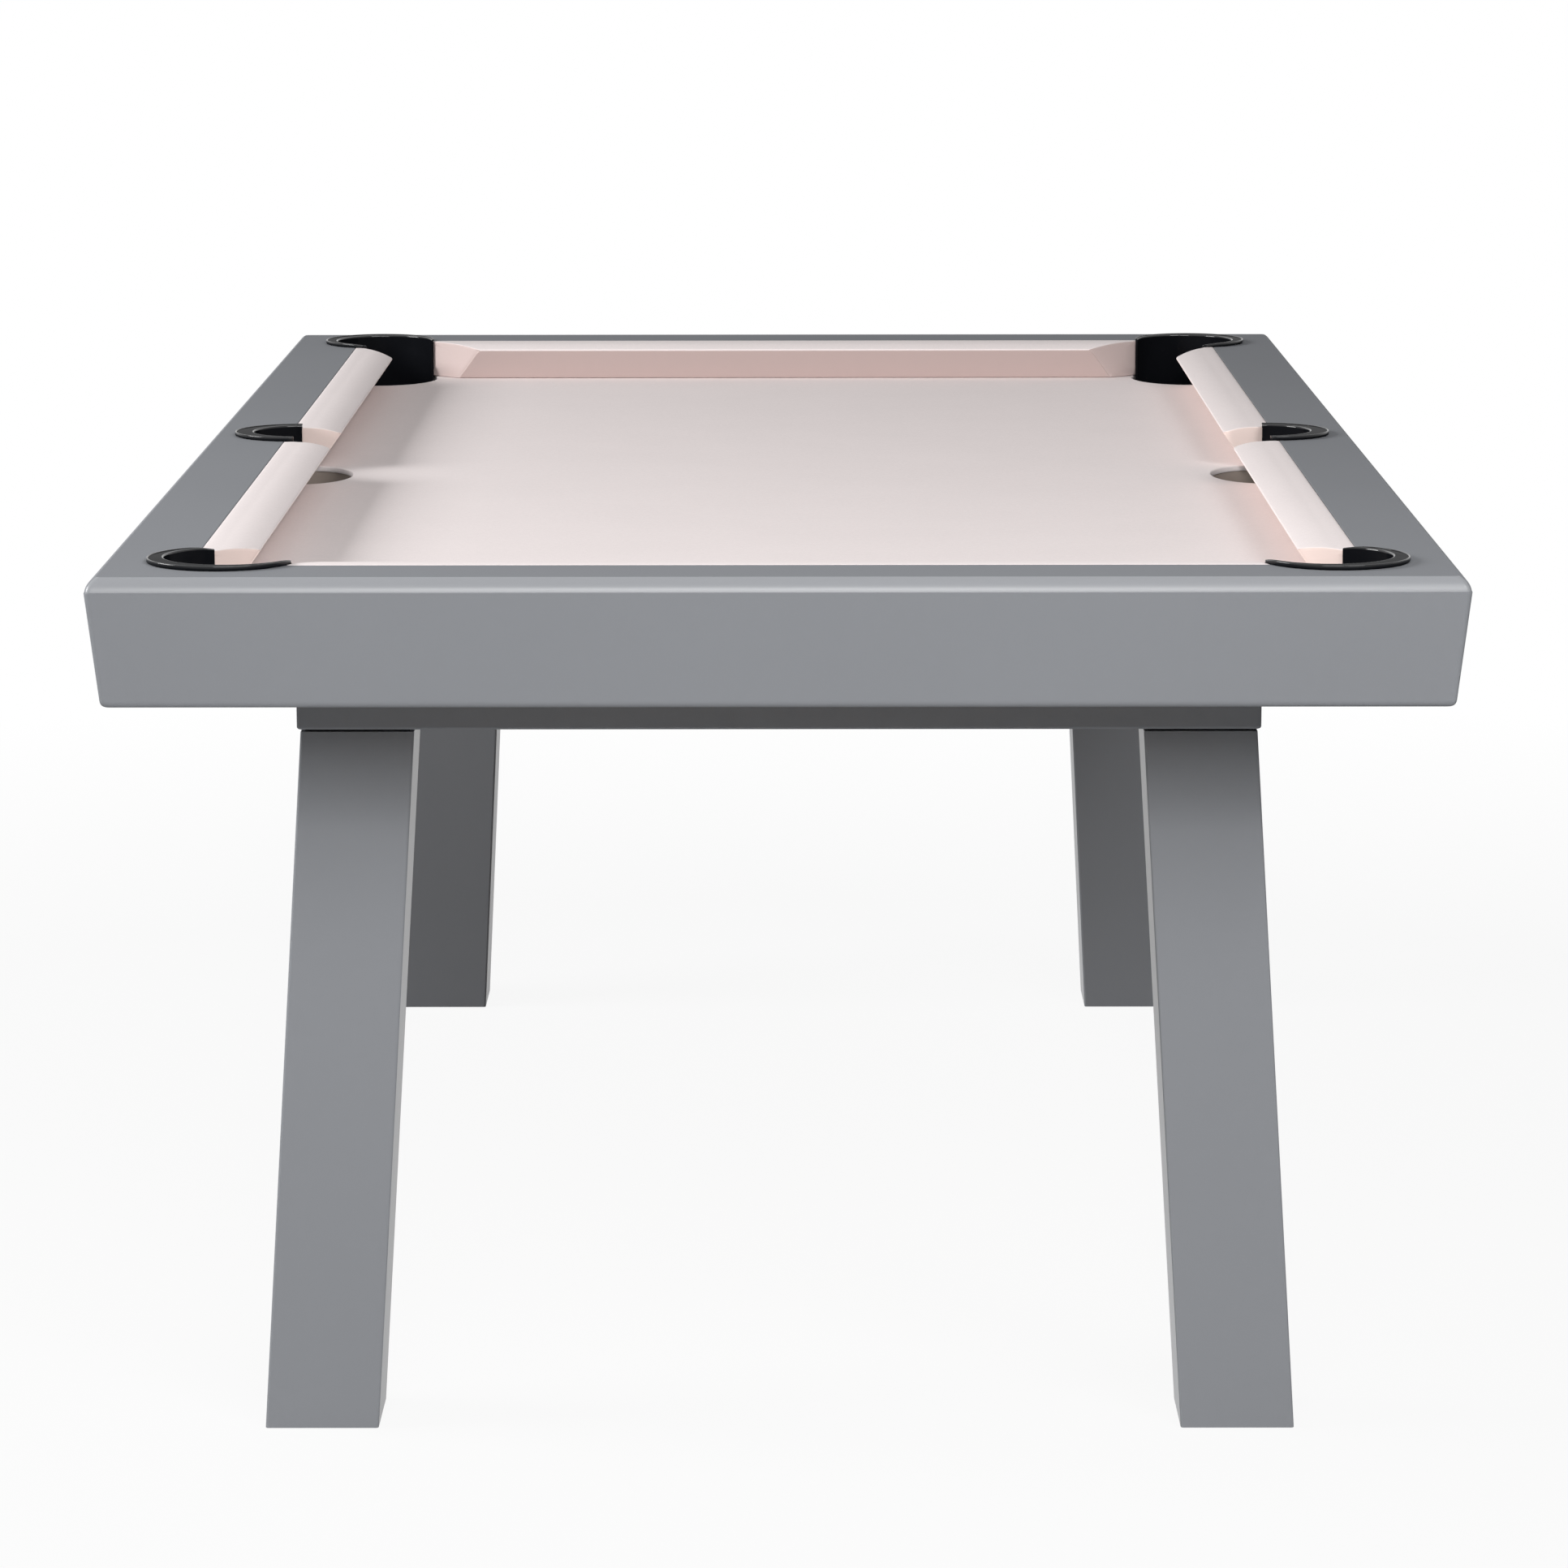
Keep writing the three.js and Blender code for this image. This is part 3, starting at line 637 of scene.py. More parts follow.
def turned(profile, x, y, sides=48, start=0.0):
    """Points and faces of a closed profile of radii and levels turned about an upright axis."""
    count = len(profile)
    points, faces = [], []
    for side in range(sides):
        turn = start + 2 * math.pi * side / sides
        points += [(x + r * math.cos(turn), y + r * math.sin(turn), z) for r, z in profile]
    for side in range(sides):
        near, far = side * count, (side + 1) % sides * count
        for i in range(count - 1):
            quad = (near + i, near + i + 1, far + i + 1, far + i)
            if profile[i][0] == 0:
                quad = (near + i, near + i + 1, far + i + 1)
            elif profile[i + 1][0] == 0:
                quad = (near + i, near + i + 1, far + i)
            faces.append(quad)
    return points, faces


# ---- Bars mitred at the table's corners --------------------------------------------------------

def side_place(x, y=1):
    """Turns a bar's distance, run and level into a point on the left or right side."""
    return lambda distance, run, level: (x * distance, y * run, level)


def end_place(y):
    """The same for a bar at the front or back end."""
    return lambda distance, run, level: (run, y * distance, level)


def both_halves(half, place, first=0):
    """A whole bar's rings, from those of the half that runs to the back or the right."""
    front = [[(x, -run, z) for x, run, z in ring] for ring in reversed(half[first:])]
    return [[place(*point) for point in ring] for ring in front + half]


def mitre_point(distance, turn, inner, outer, shift, rounding):
    """Distance and run of a bar's point where it rounds the table's corner towards the mitre."""
    radius = rounding * (distance - inner) / (outer - inner)
    run = distance + shift - settings().casing.mitre_gap - radius * (1 - math.sin(turn))
    return distance - radius * (1 - math.cos(turn)), run


def corner_rings(section, inner, outer, shift, rounding, steps=8):
    """A bar's rings round the table's corner, from its straight run to the mitre."""
    rings = []
    for step in range(steps + 1):
        turn = math.pi / 4 * step / steps
        rings.append([(*mitre_point(x, turn, inner, outer, shift, rounding), z) for x, z in section])
    return rings


def mitred_bar(name, section, shift, rounding, place, finish):
    """A straight bar of one section, mitred at both ends."""
    inner, outer = min(x for x, z in section), max(x for x, z in section)
    rings = both_halves(corner_rings(section, inner, outer, shift, rounding), place)
    piece = new_piece(name, *lofted(rings), finish)
    weight_normals(piece)
    return piece


BULLNOSE_STEPS = 12
SCALLOP_STEPS = 14
HOLLOW_STEPS = 22


def rail_section(inner, outer):
    """A rail's section from its inner bottom edge round to its inner top edge."""
    casing = settings().casing
    arris, height, width = casing.arris, casing.bullnose, casing.bullnose_width
    rebate_top, face = RAIL_TOP - height, outer - casing.rail_set
    slope = casing.apron_lean / (rebate_top - APRON_BOTTOM)
    rebate = outer - casing.apron_thickness - slope * (rebate_top - CLOTH_TOP) - casing.seat_gap
    section = [(inner + arris, CLOTH_TOP), (rebate, CLOTH_TOP), (rebate, rebate_top)]
    low_turn = casing.bullnose_lean
    high_turn = 2 * math.atan2(width, height) - low_turn
    radius = height / (math.sin(high_turn) - math.sin(low_turn))
    centre = face - radius * math.cos(low_turn), rebate_top - radius * math.sin(low_turn)
    section += arc(*centre, radius, math.degrees(low_turn), math.degrees(high_turn), BULLNOSE_STEPS)
    # The first stretch of the flat top is narrow, so that the bullnose's shading ends with it.
    section += [(face - width - 0.4 * MM, RAIL_TOP)]
    section += [(inner + arris, RAIL_TOP), (inner + arris * 0.3, RAIL_TOP - arris * 0.3)]
    section += [(inner, RAIL_TOP - arris), (inner, CLOTH_TOP + arris)]
    return section


def rail(name, inner, outer, shift, pocket, scallop, place, finish):
    """A rail with a hollow for a corner pocket at each end, and for a side pocket between them."""
    rounding = settings().casing.corner_rounding
    centre, along, radius = pocket
    rows = []
    if scallop:
        middle, hollow = scallop
        stop = math.degrees(math.acos((inner - middle) / hollow))
        rows += [(x, run, run) for x, run in arc(middle, 0, hollow, 0, stop, SCALLOP_STEPS)]
    # The corner's hollow stops just short of the mitre, and so do its rings at the outer edge.
    start, stop, share = -math.degrees(math.acos((inner - centre) / radius)), 43.5, 0.97
    hollows = arc(centre, along, radius, start, stop, HOLLOW_STEPS)
    first, last = hollows[0][1], mitre_point(outer, 0, inner, outer, shift, rounding)[1]
    span = share * (last - first)
    rows += [(x, run, first + span * i / HOLLOW_STEPS) for i, (x, run) in enumerate(hollows)]
    half = []
    for edge, near, far in rows:
        section = rail_section(edge, outer)
        half.append([(x, near + (far - near) * (x - edge) / (outer - edge), z) for x, z in section])
    section = rail_section(centre + radius / math.sqrt(2), outer)
    half += corner_rings(section, inner, outer, shift, rounding)
    # A scallop's first ring is the rail's middle, which its two halves share.
    rings = both_halves(half, place, 1 if scallop else 0)
    piece = new_piece(name, *lofted(rings), finish, crease=12.0)
    # Bullnoses are marked glossier and painted lighter as a highlight, the end rails' far more than the
    # sides'.
    polished = [0.0] * 3 + [0.15 if scallop else 1.0] * (BULLNOSE_STEPS + 1)
    polished += [0.0] * (len(section) - len(polished))
    mark(piece, "polished", polished * len(rings))
    weight_normals(piece)
    return piece


def apron_section(outer):
    """An apron's section: it leans in downwards, and is rounded at its bottom edge."""
    casing = settings().casing
    arris, ease, thick = casing.arris, casing.apron_ease, casing.apron_thickness
    top = RAIL_TOP - casing.bullnose - casing.mitre_gap
    lean = casing.apron_lean / (RAIL_TOP - casing.bullnose - APRON_BOTTOM)
    foot = outer - casing.apron_lean
    section = [(outer - thick, top), (foot - thick, APRON_BOTTOM + arris)]
    section.append((foot - thick + arris, APRON_BOTTOM))
    steps = 8
    for step in range(steps + 1):
        t = step / steps
        x = (1 - t) ** 2 * (foot - ease) + 2 * t * (1 - t) * foot + t * t * (foot + lean * ease)
        section.append((x, APRON_BOTTOM + ease * t * t))
    section += [(outer - lean * arris, top - arris), (outer - arris * 0.35, top - arris * 0.35)]
    section.append((outer - arris, top))
    return section


def beam_section(inner, outer):
    """A base frame board's section, from the slab down to its rounded lower edge."""
    casing = settings().casing
    arris, ease = casing.arris, casing.beam_ease
    section = [(inner + arris, BEAM_BOTTOM)]
    section += arc(outer - ease, BEAM_BOTTOM + ease, ease, -90, 0, 6)
    section += [(outer, SLAB_BOTTOM), (inner, SLAB_BOTTOM), (inner, BEAM_BOTTOM + arris)]
    return section


class POOL_OT_casing(bpy.types.Operator):
    """Build the rails, aprons and base frame, mitred at the corners"""

    bl_idname = "pool_table.casing"
    bl_label = "Rails and Frame"

    def execute(self, context):
        casing, pocket = settings().casing, settings().pocket
        corner_x, corner_y, side_x = pocket_centres()
        clear = pocket.wall + casing.seat_gap
        corner, side_hollow = pocket.corner_radius + clear, (side_x, pocket.side_radius + clear)
        reach = RAIL_INNER_X, RAIL_OUTER_X, BEAM_INNER_X, BEAM_OUTER_X
        for side, x in SIDES.items():
            self.build(side, side_place(x), 1, reach, (corner_x, corner_y, corner), side_hollow)
        reach = RAIL_INNER_Y, RAIL_OUTER_Y, BEAM_INNER_Y, BEAM_OUTER_Y
        for end, y in ENDS.items():
            self.build(end, end_place(y), -1, reach, (corner_y, corner_x, corner), None)
        return {"FINISHED"}

    def build(self, name, place, way, reach, hollow, scallop):
        """A rail, its apron and the frame's board: way is 1 along the table, and -1 across it."""
        casing, finish = settings().casing, satin_paint()
        inner, outer, beam_inner, beam_outer = reach
        shift = way * (RAIL_INNER_Y - RAIL_INNER_X)
        made = rail(f"{name}_rail_board", inner, outer, shift, hollow, scallop, place, finish)
        seat(made, "table", "grey_paint", f"{name}_rail")
        shift, section = way * (RAIL_OUTER_Y - RAIL_OUTER_X), apron_section(outer)
        made = mitred_bar(f"{name}_apron_board", section, shift, casing.corner_rounding, place, finish)
        seat(made, "table", "grey_paint", f"{name}_apron")
        shift, section = way * (BEAM_OUTER_Y - BEAM_OUTER_X), beam_section(beam_inner, beam_outer)
        made = mitred_bar(f"{name}_frame_board", section, shift, casing.beam_ease, place, finish)
        seat(made, "table", "grey_paint", f"{name}_frame_beam")


# ---- Legs --------------------------------------------------------------------------------------

def leg_outline(inset, edge):
    """A leg's plan about its outer faces, which meet at the origin."""
    width, depth = settings().casing.leg_width, settings().casing.leg_depth
    least = 0.4 * MM
    edge = max(edge - inset, least)
    steps = 12
    near, far_x, far_y = -inset - edge, inset - width + edge, inset - depth + edge
    corners = [(near, far_y, -90), (near, near, 0), (far_x, near, 90), (far_x, far_y, 180)]
    bends = [arc(x, y, edge, start, start + 90, 6) for x, y, start in corners]
    outline = []
    for bend, following in zip(bends, bends[1:] + bends[:1]):
        straight = [between(bend[-1], following[0], step / steps) for step in range(1, steps)]
        outline += bend + straight
    return outline


def bored(points, faces, rim, centre, bore, level):
    """Closes one end of a leg with a face round a stepped bore, from its widest radius inwards."""
    x, y = centre
    turns = [math.atan2(points[i][1] - y, points[i][0] - x) for i in rim]
    for radius, height in bore:
        ring = list(range(len(points), len(points) + len(rim)))
        points += [(x + radius * math.cos(t), y + radius * math.sin(t), level + height) for t in turns]
        faces += band(rim, ring)
        rim = ring
    faces.append(tuple(rim))


class POOL_OT_legs(bpy.types.Operator):
    """Build the four splayed legs, each with its bolt hole and its leveler's recess"""

    bl_idname = "pool_table.legs"
    bl_label = "Legs"

    def execute(self, context):
        casing, finish = settings().casing, satin_paint()
        arris, steps, slack = casing.arris, 12, 0.05 * MM
        top_x, top_y = BEAM_OUTER_X - casing.leg_inset, BEAM_OUTER_Y - casing.leg_inset
        recess = [(casing.recess, 0.0), (casing.recess, casing.recess_depth)]
        recess += [(casing.flange_bore, casing.recess_depth), (casing.flange_bore, casing.flange_depth)]
        recess += [(casing.insert_bore, casing.flange_depth), (casing.insert_bore, casing.insert_depth)]
        bolt_hole = [(casing.bolt_bore, 0.0), (casing.bolt_bore, -casing.bolt_depth)]
        levels = [(LEG_TOP, arris), (LEG_TOP - arris * 0.3, arris * 0.3), (LEG_TOP - arris, 0.0)]
        levels += [(LEG_TOP * (1 - step / steps), 0.0) for step in range(1, steps)]
        levels += [(arris, 0.0), (arris * 0.3, arris * 0.3), (0.0, arris)]
        for corner, (x, y) in CORNERS.items():
            rings, polished = [], []
            for level, inset in levels:
                at_x, at_y = between((LEG_FOOT_X, LEG_FOOT_Y), (top_x, top_y), level / LEG_TOP)
                outline = leg_outline(inset, casing.leg_edge)
                inner = inset - casing.leg_width + slack
                rings.append([(x * (at_x + px), y * (at_y + py), level) for px, py in outline])
                # Inner faces are marked glossier and painted lighter as a highlight.
                polished += [float(px < inner) for px, _ in outline]
            points, faces = skin(rings)
            rim = list(range(len(points)))
            count = len(rings[0])
            bored(points, faces, rim[:count], (x * BOLT[0], y * BOLT[1]), bolt_hole, LEG_TOP)
            bored(points, faces, rim[-count:], (x * FOOT[0], y * FOOT[1]), recess, 0.0)
            piece = new_piece(f"{corner}_leg_block", points, faces, finish)
            mark(piece, "polished", polished + [0.0] * (len(points) - len(polished)))
            weight_normals(piece)
            seat(piece, "table", "grey_paint", f"{corner}_leg")
        return {"FINISHED"}


# ---- Pockets -----------------------------------------------------------------------------------

def pocket_centres():
    """Distances from the table's middle to the pockets' centres: a corner's two, then a side's."""
    pocket = settings().pocket
    foot = low("back_right_corner_pocket")
    corner, side = pocket.corner_radius + pocket.wall, pocket.side_radius + pocket.wall
    return foot[0] + corner, foot[1] + corner, low("right_side_pocket")[0] + side


def at_corners(points):
    """Points about a corner pocket's centre, carried to each corner, with the corner's name."""
    corner_x, corner_y, _ = pocket_centres()
    for corner, (x, y) in CORNERS.items():
        yield corner, [(x * (corner_x + px), y * (corner_y + py), pz) for px, py, pz in points]


def at_sides(points):
    """The same, from a side pocket's centre to each side."""
    side_x = pocket_centres()[2]
    for side, x in SIDES.items():
        yield side, [(x * (side_x + px), py, pz) for px, py, pz in points]


def rim_loop(radius, rim_radius):
    """
    The section of a pocket's wall and rim, from the foot of its inner face over the rim to the foot
    of its outer face: each point's radius, level and share of the rim's shift, then how polished.
    """
    pocket = settings().pocket
    lip, bead, dish = pocket.lip, pocket.bead, pocket.dish
    top, rim_bottom = RIM_TOP, RAIL_TOP + settings().casing.seat_gap
    cup_top, outer = SLAB_BOTTOM - pocket.cup_drop, radius + pocket.wall
    lips = [(radius, top - dish * 2 - lip, 0.0)]
    for turn in (0, 0.4, 0.8, 1.2, math.pi / 2):
        lips.append((radius + lip * (1 - math.cos(turn)), top - dish - lip * (1 - math.sin(turn)), 0.0))
    middle = radius + (rim_radius - radius) * 0.55
    face = [(radius + lip + 0.3 * MM, top - dish, 0.0), (middle, top - 0.5 * MM, 0.55)]
    face += [(rim_radius - bead - 0.5 * MM, top - pocket.groove, 1.0)]
    face += [(rim_radius - bead, top - pocket.groove, 1.0)]
    half, beads = bead / 2, []
    for turn in (2.8, 2.3, 1.9, 1.5, 1.1, 0.7, 0.3, 0.0):
        level = top - half + half * math.sin(turn)
        beads.append((rim_radius + half * math.cos(turn) - half, level, 1.0))
    hollow, ease = rim_bottom + 0.5 * MM, 0.4 * MM
    under = [(rim_radius, hollow + ease, 1.0), (rim_radius - 0.25 * MM, hollow + 0.05 * MM, 1.0)]
    under += [(rim_radius - 1.0 * MM, hollow, 1.0), (outer, hollow, 0.0)]
    loop = [(radius, cup_top, 0.0)] + lips + face + beads + under + [(outer, cup_top, 0.0)]
    shine = [0.0, 0.0] + [1.0] * (len(lips) - 1) + [0.1] * len(face) + [1.0] * len(beads)
    return loop, shine + [0.0] * (len(loop) - len(shine))


def pocket_mesh(radius, rim_radius, reach, tip, tip_share):
    """
    A pocket moulding about its own centre, its rail towards +X: cup, wall and rim in one closed skin.
    It ends as far as reach past its centre, and its tips are lower than the rest of the rim.
    """
    pocket = settings().pocket
    wall, shift, steps = pocket.wall, pocket.rim_shift, pocket.steps
    outer, cup_top = radius + wall, SLAB_BOTTOM - pocket.cup_drop
    rim_bottom = RAIL_TOP + settings().casing.seat_gap
    loop, shine = rim_loop(radius, rim_radius)

    def end_turn(distance, share):
        """How far round a point goes before it meets the plane that the moulding ends on."""
        from_edge = max(0.0, radius + (rim_radius - radius) * share - distance)
        past = 0.0
        if share == 1.0 and from_edge < tip:
            past = tip - math.sqrt(tip * tip - (tip - from_edge) ** 2)
        cosine = -(reach - past + shift * share) / distance
        return math.acos(max(-1.0, min(1.0, cosine)))

    points, faces, rings = [], [], []
    sloping = 0.16
    for step in range(steps + 1):
        t = 2 * step / steps - 1
        slope = (1 - tip_share) * max(0.0, (abs(t) - 1 + sloping) / sloping) ** 2
        rings.append(list(range(len(points), len(points) + len(loop))))
        for distance, level, share in loop:
            turn = t * end_turn(distance, share)
            level -= slope * max(0.0, level - rim_bottom)
            points.append((shift * share + distance * math.cos(turn), distance * math.sin(turn), level))
    for near, far in zip(rings, rings[1:]):
        faces += [(near[i], near[i + 1], far[i + 1], far[i]) for i in range(len(loop) - 1)]
    faces += [tuple(rings[0]), tuple(reversed(rings[-1]))]

    back_steps = max(8, int(steps * (math.pi / end_turn(radius, 0.0) - 1)))
    inner_ring, outer_ring = [ring[0] for ring in rings], [ring[-1] for ring in rings]
    for step in range(1, back_steps):
        for ring, distance in ((inner_ring, radius), (outer_ring, outer)):
            start = end_turn(distance, 0.0)
            turn = start + (2 * math.pi - 2 * start) * step / back_steps
            ring.append(len(points))
            points.append((distance * math.cos(turn), distance * math.sin(turn), cup_top))
    faces += band(inner_ring, outer_ring)[steps:]

    hub, dip = radius * 0.3, 0.2 * MM
    for ring, size, fillet, floor, end in (
        (inner_ring, radius, pocket.floor_fillet, CUP_BOTTOM + wall, CUP_BOTTOM + wall - dip),
        (outer_ring, outer, pocket.floor_fillet + wall, CUP_BOTTOM, CUP_BOTTOM),
    ):
        profile = arc(size - fillet, floor + fillet, fillet, 0, -90, 8) + [(hub, end)]
        rim = [(points[index][0] / size, points[index][1] / size) for index in ring]
        for distance, level in profile:
            below = list(range(len(points), len(points) + len(ring)))
            points += [(x * distance, y * distance, level) for x, y in rim]
            faces += band(ring, below)
            ring = below
        faces.append(tuple(ring))
    polished = shine * len(rings)
    return points, faces, polished + [0.0] * (len(points) - len(polished))


class POOL_OT_pockets(bpy.types.Operator):
    """Build the four corner pockets and the two side pockets"""

    bl_idname = "pool_table.pockets"
    bl_label = "Pockets"

    def execute(self, context):
        pocket = settings().pocket
        rim = high("back_right_corner_pocket")[0] - pocket_centres()[0] - pocket.rim_shift / math.sqrt(2)
        tip_share = pocket.tip_height / (RIM_TOP - RAIL_TOP - settings().casing.seat_gap)
        sizes = pocket.corner_radius, rim, pocket.corner_reach, pocket.tip_rounding, tip_share
        points, faces, polished = pocket_mesh(*sizes)
        outwards = Matrix.Rotation(math.pi / 4, 3, "Z")
        for corner, placed in at_corners([outwards @ Vector(point) for point in points]):
            self.build(corner, placed, faces, polished, f"{corner}_corner_pocket")
        sizes = pocket.side_radius, high("right_side_pocket")[1], -pocket.side_stop, pocket.side_tip, 1.0
        points, faces, polished = pocket_mesh(*sizes)
        for side, placed in at_sides(points):
            self.build(side, placed, faces, polished, f"{side}_side_pocket")
        return {"FINISHED"}

    def build(self, name, points, faces, polished, node):
        """One pocket's moulding, which stands for a node of the frame."""
        piece = new_piece(f"{name}_pocket_moulding", points, faces, black_moulding())
        mark(piece, "polished", polished)
        seat(piece, "table", "black_moulding", node)


def collar_mesh(radius, across, along, shift, end):
    """A collar about a cup's axis, round inside and oval outside, and no further along than end."""
    fittings = settings().fittings
    plate, lap, ease = fittings.collar_plate, fittings.collar_lap, 0.5 * MM
    inner, top = radius + settings().casing.seat_gap, SLAB_BOTTOM - fittings.reveal
    foot = top - fittings.collar_height
    inside = [(inner, foot), (inner, top - ease), (inner + ease, top)]
    outside = [(ease, top), (0.0, top - ease), (0.0, top - plate)]
    skirt = [(inner + plate, top - plate), (inner + plate, foot)]
    count, rings = 96, []
    for step in range(count):
        turn = 2 * math.pi * step / count
        x, y = math.cos(turn), math.sin(turn)
        ring = [(distance * x, distance * y, level) for distance, level in inside]
        for inset, level in outside:
            reach_x, reach_y = across + lap - inset, along + lap - inset
            ring.append((shift + reach_x * x, min(end, reach_y * y), level))
        rings.append(ring + [(distance * x, distance * y, level) for distance, level in skirt])
    points, faces = skin(rings)
    last = list(range(len(points) - len(rings[0]), len(points)))
    return points, faces + band(last, list(range(len(rings[0]))))


class POOL_OT_pocket_collars(bpy.types.Operator):
    """Build the collars that close the slab's cut-outs round the pockets' cups"""

    bl_idname = "pool_table.pocket_collars"
    bl_label = "Pocket Collars"

    def execute(self, context):
        bed, pocket = settings().bed, settings().pocket
        slab_end, clear = SLAB_HALF_Y - pocket_centres()[1], 2 * MM
        corner, side = pocket.corner_radius + pocket.wall, pocket.side_radius + pocket.wall
        sizes = bed.corner_across, bed.corner_along, bed.corner_shift
        points, faces = collar_mesh(corner, *sizes, slab_end - clear)
        collars = [(name, placed, faces) for name, placed in at_corners(points)]
        points, faces = collar_mesh(side, bed.side_hole_reach, bed.side_hole, 0.0, 2 * bed.side_hole)
        collars += [(name, placed, faces) for name, placed in at_sides(points)]
        for name, placed, faces in collars:
            collar = new_piece(f"{name}_pocket_collar", placed, faces, black_moulding())
            seat(collar, "table", "black_moulding")
        return {"FINISHED"}


# ---- Cushions ----------------------------------------------------------------------------------

def cushion_section(width, setback):
    """A cushion's section: each point's depth behind the nose, its level, and how much painted shade its
    cloth takes.
    """
    cushion = settings().cushion
    arris, radius, crown = cushion.arris, cushion.nose_radius, cushion.crown_width

    def top(depth):
        """The level of the cushion's top: it falls away in front of the crown, and domes behind it."""
        if depth < crown:
            return RAIL_TOP - cushion.nose_drop * (1 - depth / crown) ** 2
        return RAIL_TOP + cushion.crown_rise * math.sin(math.pi * (depth - crown) / (width - crown))

    fall = math.degrees(math.atan(2 * cushion.nose_drop / crown))
    start = radius * (1 - math.sin(math.radians(fall)))
    middle = top(start) - radius * math.cos(math.radians(fall))
    rake = math.degrees(math.atan(setback / (middle - CUSHION_FOOT)))
    nose = arc(radius, middle, radius, 90 + fall, 180 + rake, 10)
    foot = (setback - arris, CUSHION_FOOT + arris)
    steps = 10
    section = [(*between(nose[-1], foot, step / steps), 1.0) for step in range(steps + 1)]
    section += [(foot[0] + arris * 0.4, CUSHION_FOOT + arris * 0.3, 1.0)]
    section += [(foot[0] + 2 * arris, CUSHION_FOOT, 1.0), (width - arris, CUSHION_FOOT, 1.0)]
    section += [(width, CUSHION_FOOT + arris, 1.0), (width, RAIL_TOP - arris, 0.0)]
    section += [(width - arris * 0.3, RAIL_TOP - arris * 0.35, 0.0)]
    steps = 22
    for step in range(steps):
        depth = start + (width - arris - start) * (1 - step / steps)
        section.append((depth, top(depth), 0.0))
    # Over the lower half of the nose, the painted shade comes in more and more.
    for step, (depth, level) in enumerate(nose[:-1]):
        section.append((depth, level, max(0.0, step / 5 - 1)))
    return section


def cushion_end(at_rail, at_nose, width, rounding):
    """How far the cushion runs at a depth behind its nose: a straight cut, rounded at the nose."""
    rise = at_rail - at_nose
    cut = math.hypot(width, rise)
    tangent = rounding * math.tan(math.atan2(width, rise) / 2)
    start, stop = at_nose - tangent, tangent * width / cut

    def reach(depth):
        if depth >= stop:
            return at_nose + rise * depth / width
        return start + math.sqrt(max(0.0, rounding ** 2 - (rounding - max(depth, 0.0)) ** 2))

    return reach


def backwards(reach):
    """The same end of a cushion, turned to face the other way along the rail."""
    return lambda depth: -reach(depth)


def cushion_at_pocket(nose, centre, run):
    """How far it runs beside a corner pocket: cut past the wall's tip, and hollowed to clear the wall."""
    pocket, cushion = settings().pocket, settings().cushion
    gap = settings().casing.seat_gap
    clear = pocket.corner_radius + pocket.wall + gap
    across = math.sqrt(clear * clear - pocket.corner_reach ** 2)
    tip_depth = centre + (across - pocket.corner_reach) / math.sqrt(2) - nose
    tip_run = run - (across + pocket.corner_reach) / math.sqrt(2) - 2 * gap
    straight = cushion_end(tip_run, tip_run - cushion.corner_cut, tip_depth, cushion.nose_rounding)

    def reach(depth):
        if depth <= tip_depth:
            return straight(depth)
        past = nose + depth - centre
        return min(straight(depth), run - math.sqrt(max(0.0, clear * clear - past * past)) - 2 * gap)

    return reach


def inward_ways(section, middle):
    """At each point of a section, the direction square to its edge and towards its middle."""
    ways = []
    for i, (d, z, _) in enumerate(section):
        (ad, az, _), (bd, bz, _) = section[i - 1], section[(i + 1) % len(section)]
        size = math.hypot(bz - az, ad - bd) or 1.0
        nd, nz = (bz - az) / size, (ad - bd) / size
        if nd * (middle[0] - d) + nz * (middle[1] - z) < 0:
            nd, nz = -nd, -nz
        ways.append((nd, nz))
    return ways


def cushion_piece(name, rail_inner, nose, setback, ends, cut, place, finish):
    """A cushion along a rail: ends give how far it runs each way, and cut how much painted shade its ends
    take.
    """
    arris, swell = settings().cushion.arris, 0.3 * MM
    section = cushion_section(rail_inner - settings().casing.seat_gap - nose, setback)
    middle = [sum(point[axis] for point in section) / len(section) for axis in (0, 1)]
    inwards = inward_ways(section, middle)

    def end_rings(reach, way):
        """Rings from the middle of an end face out to where the cushion runs straight."""
        rings = []
        for share in (0.12, 0.35, 0.6, 0.82, 0.96):
            ring = []
            bulge = way * swell * (1 - share * share)
            for (d, z, _), (nd, nz) in zip(section, inwards):
                d, z = between(middle, (d + nd * arris, z + nz * arris), share)
                ring.append((d, reach(d) + bulge, z, cut))
            rings.append(ring)
        steps = 4
        for step in range(steps + 1):
            turn = math.pi / 2 * (1 - step / steps)
            inset, back = arris * (1 - math.cos(turn)), arris * (1 - math.sin(turn))
            ring = []
            for (d, z, wrapped), (nd, nz) in zip(section, inwards):
                # The painted shade goes from the end face's share to the section's own over the rounded
                # edge.
                blend = cut + (wrapped - cut) * step / steps
                ring.append((d + nd * inset, reach(d) - way * back, z + nz * inset, blend))
            rings.append(ring)
        rings.append([(d, reach(d) - way * 3 * arris, z, wrapped) for d, z, wrapped in section])
        return rings

    start, stop = ends
    rings = end_rings(start, -1) + end_rings(stop, 1)[::-1]
    points, faces = lofted([[place(nose + d, run, z) for d, run, z, _ in ring] for ring in rings])
    piece = new_piece(name, points, faces, finish, crease=50.0)
    # Marks how much painted shade each point's cloth takes.
    mark(piece, "wrapped", [value for ring in rings for *_, value in ring])
    return piece


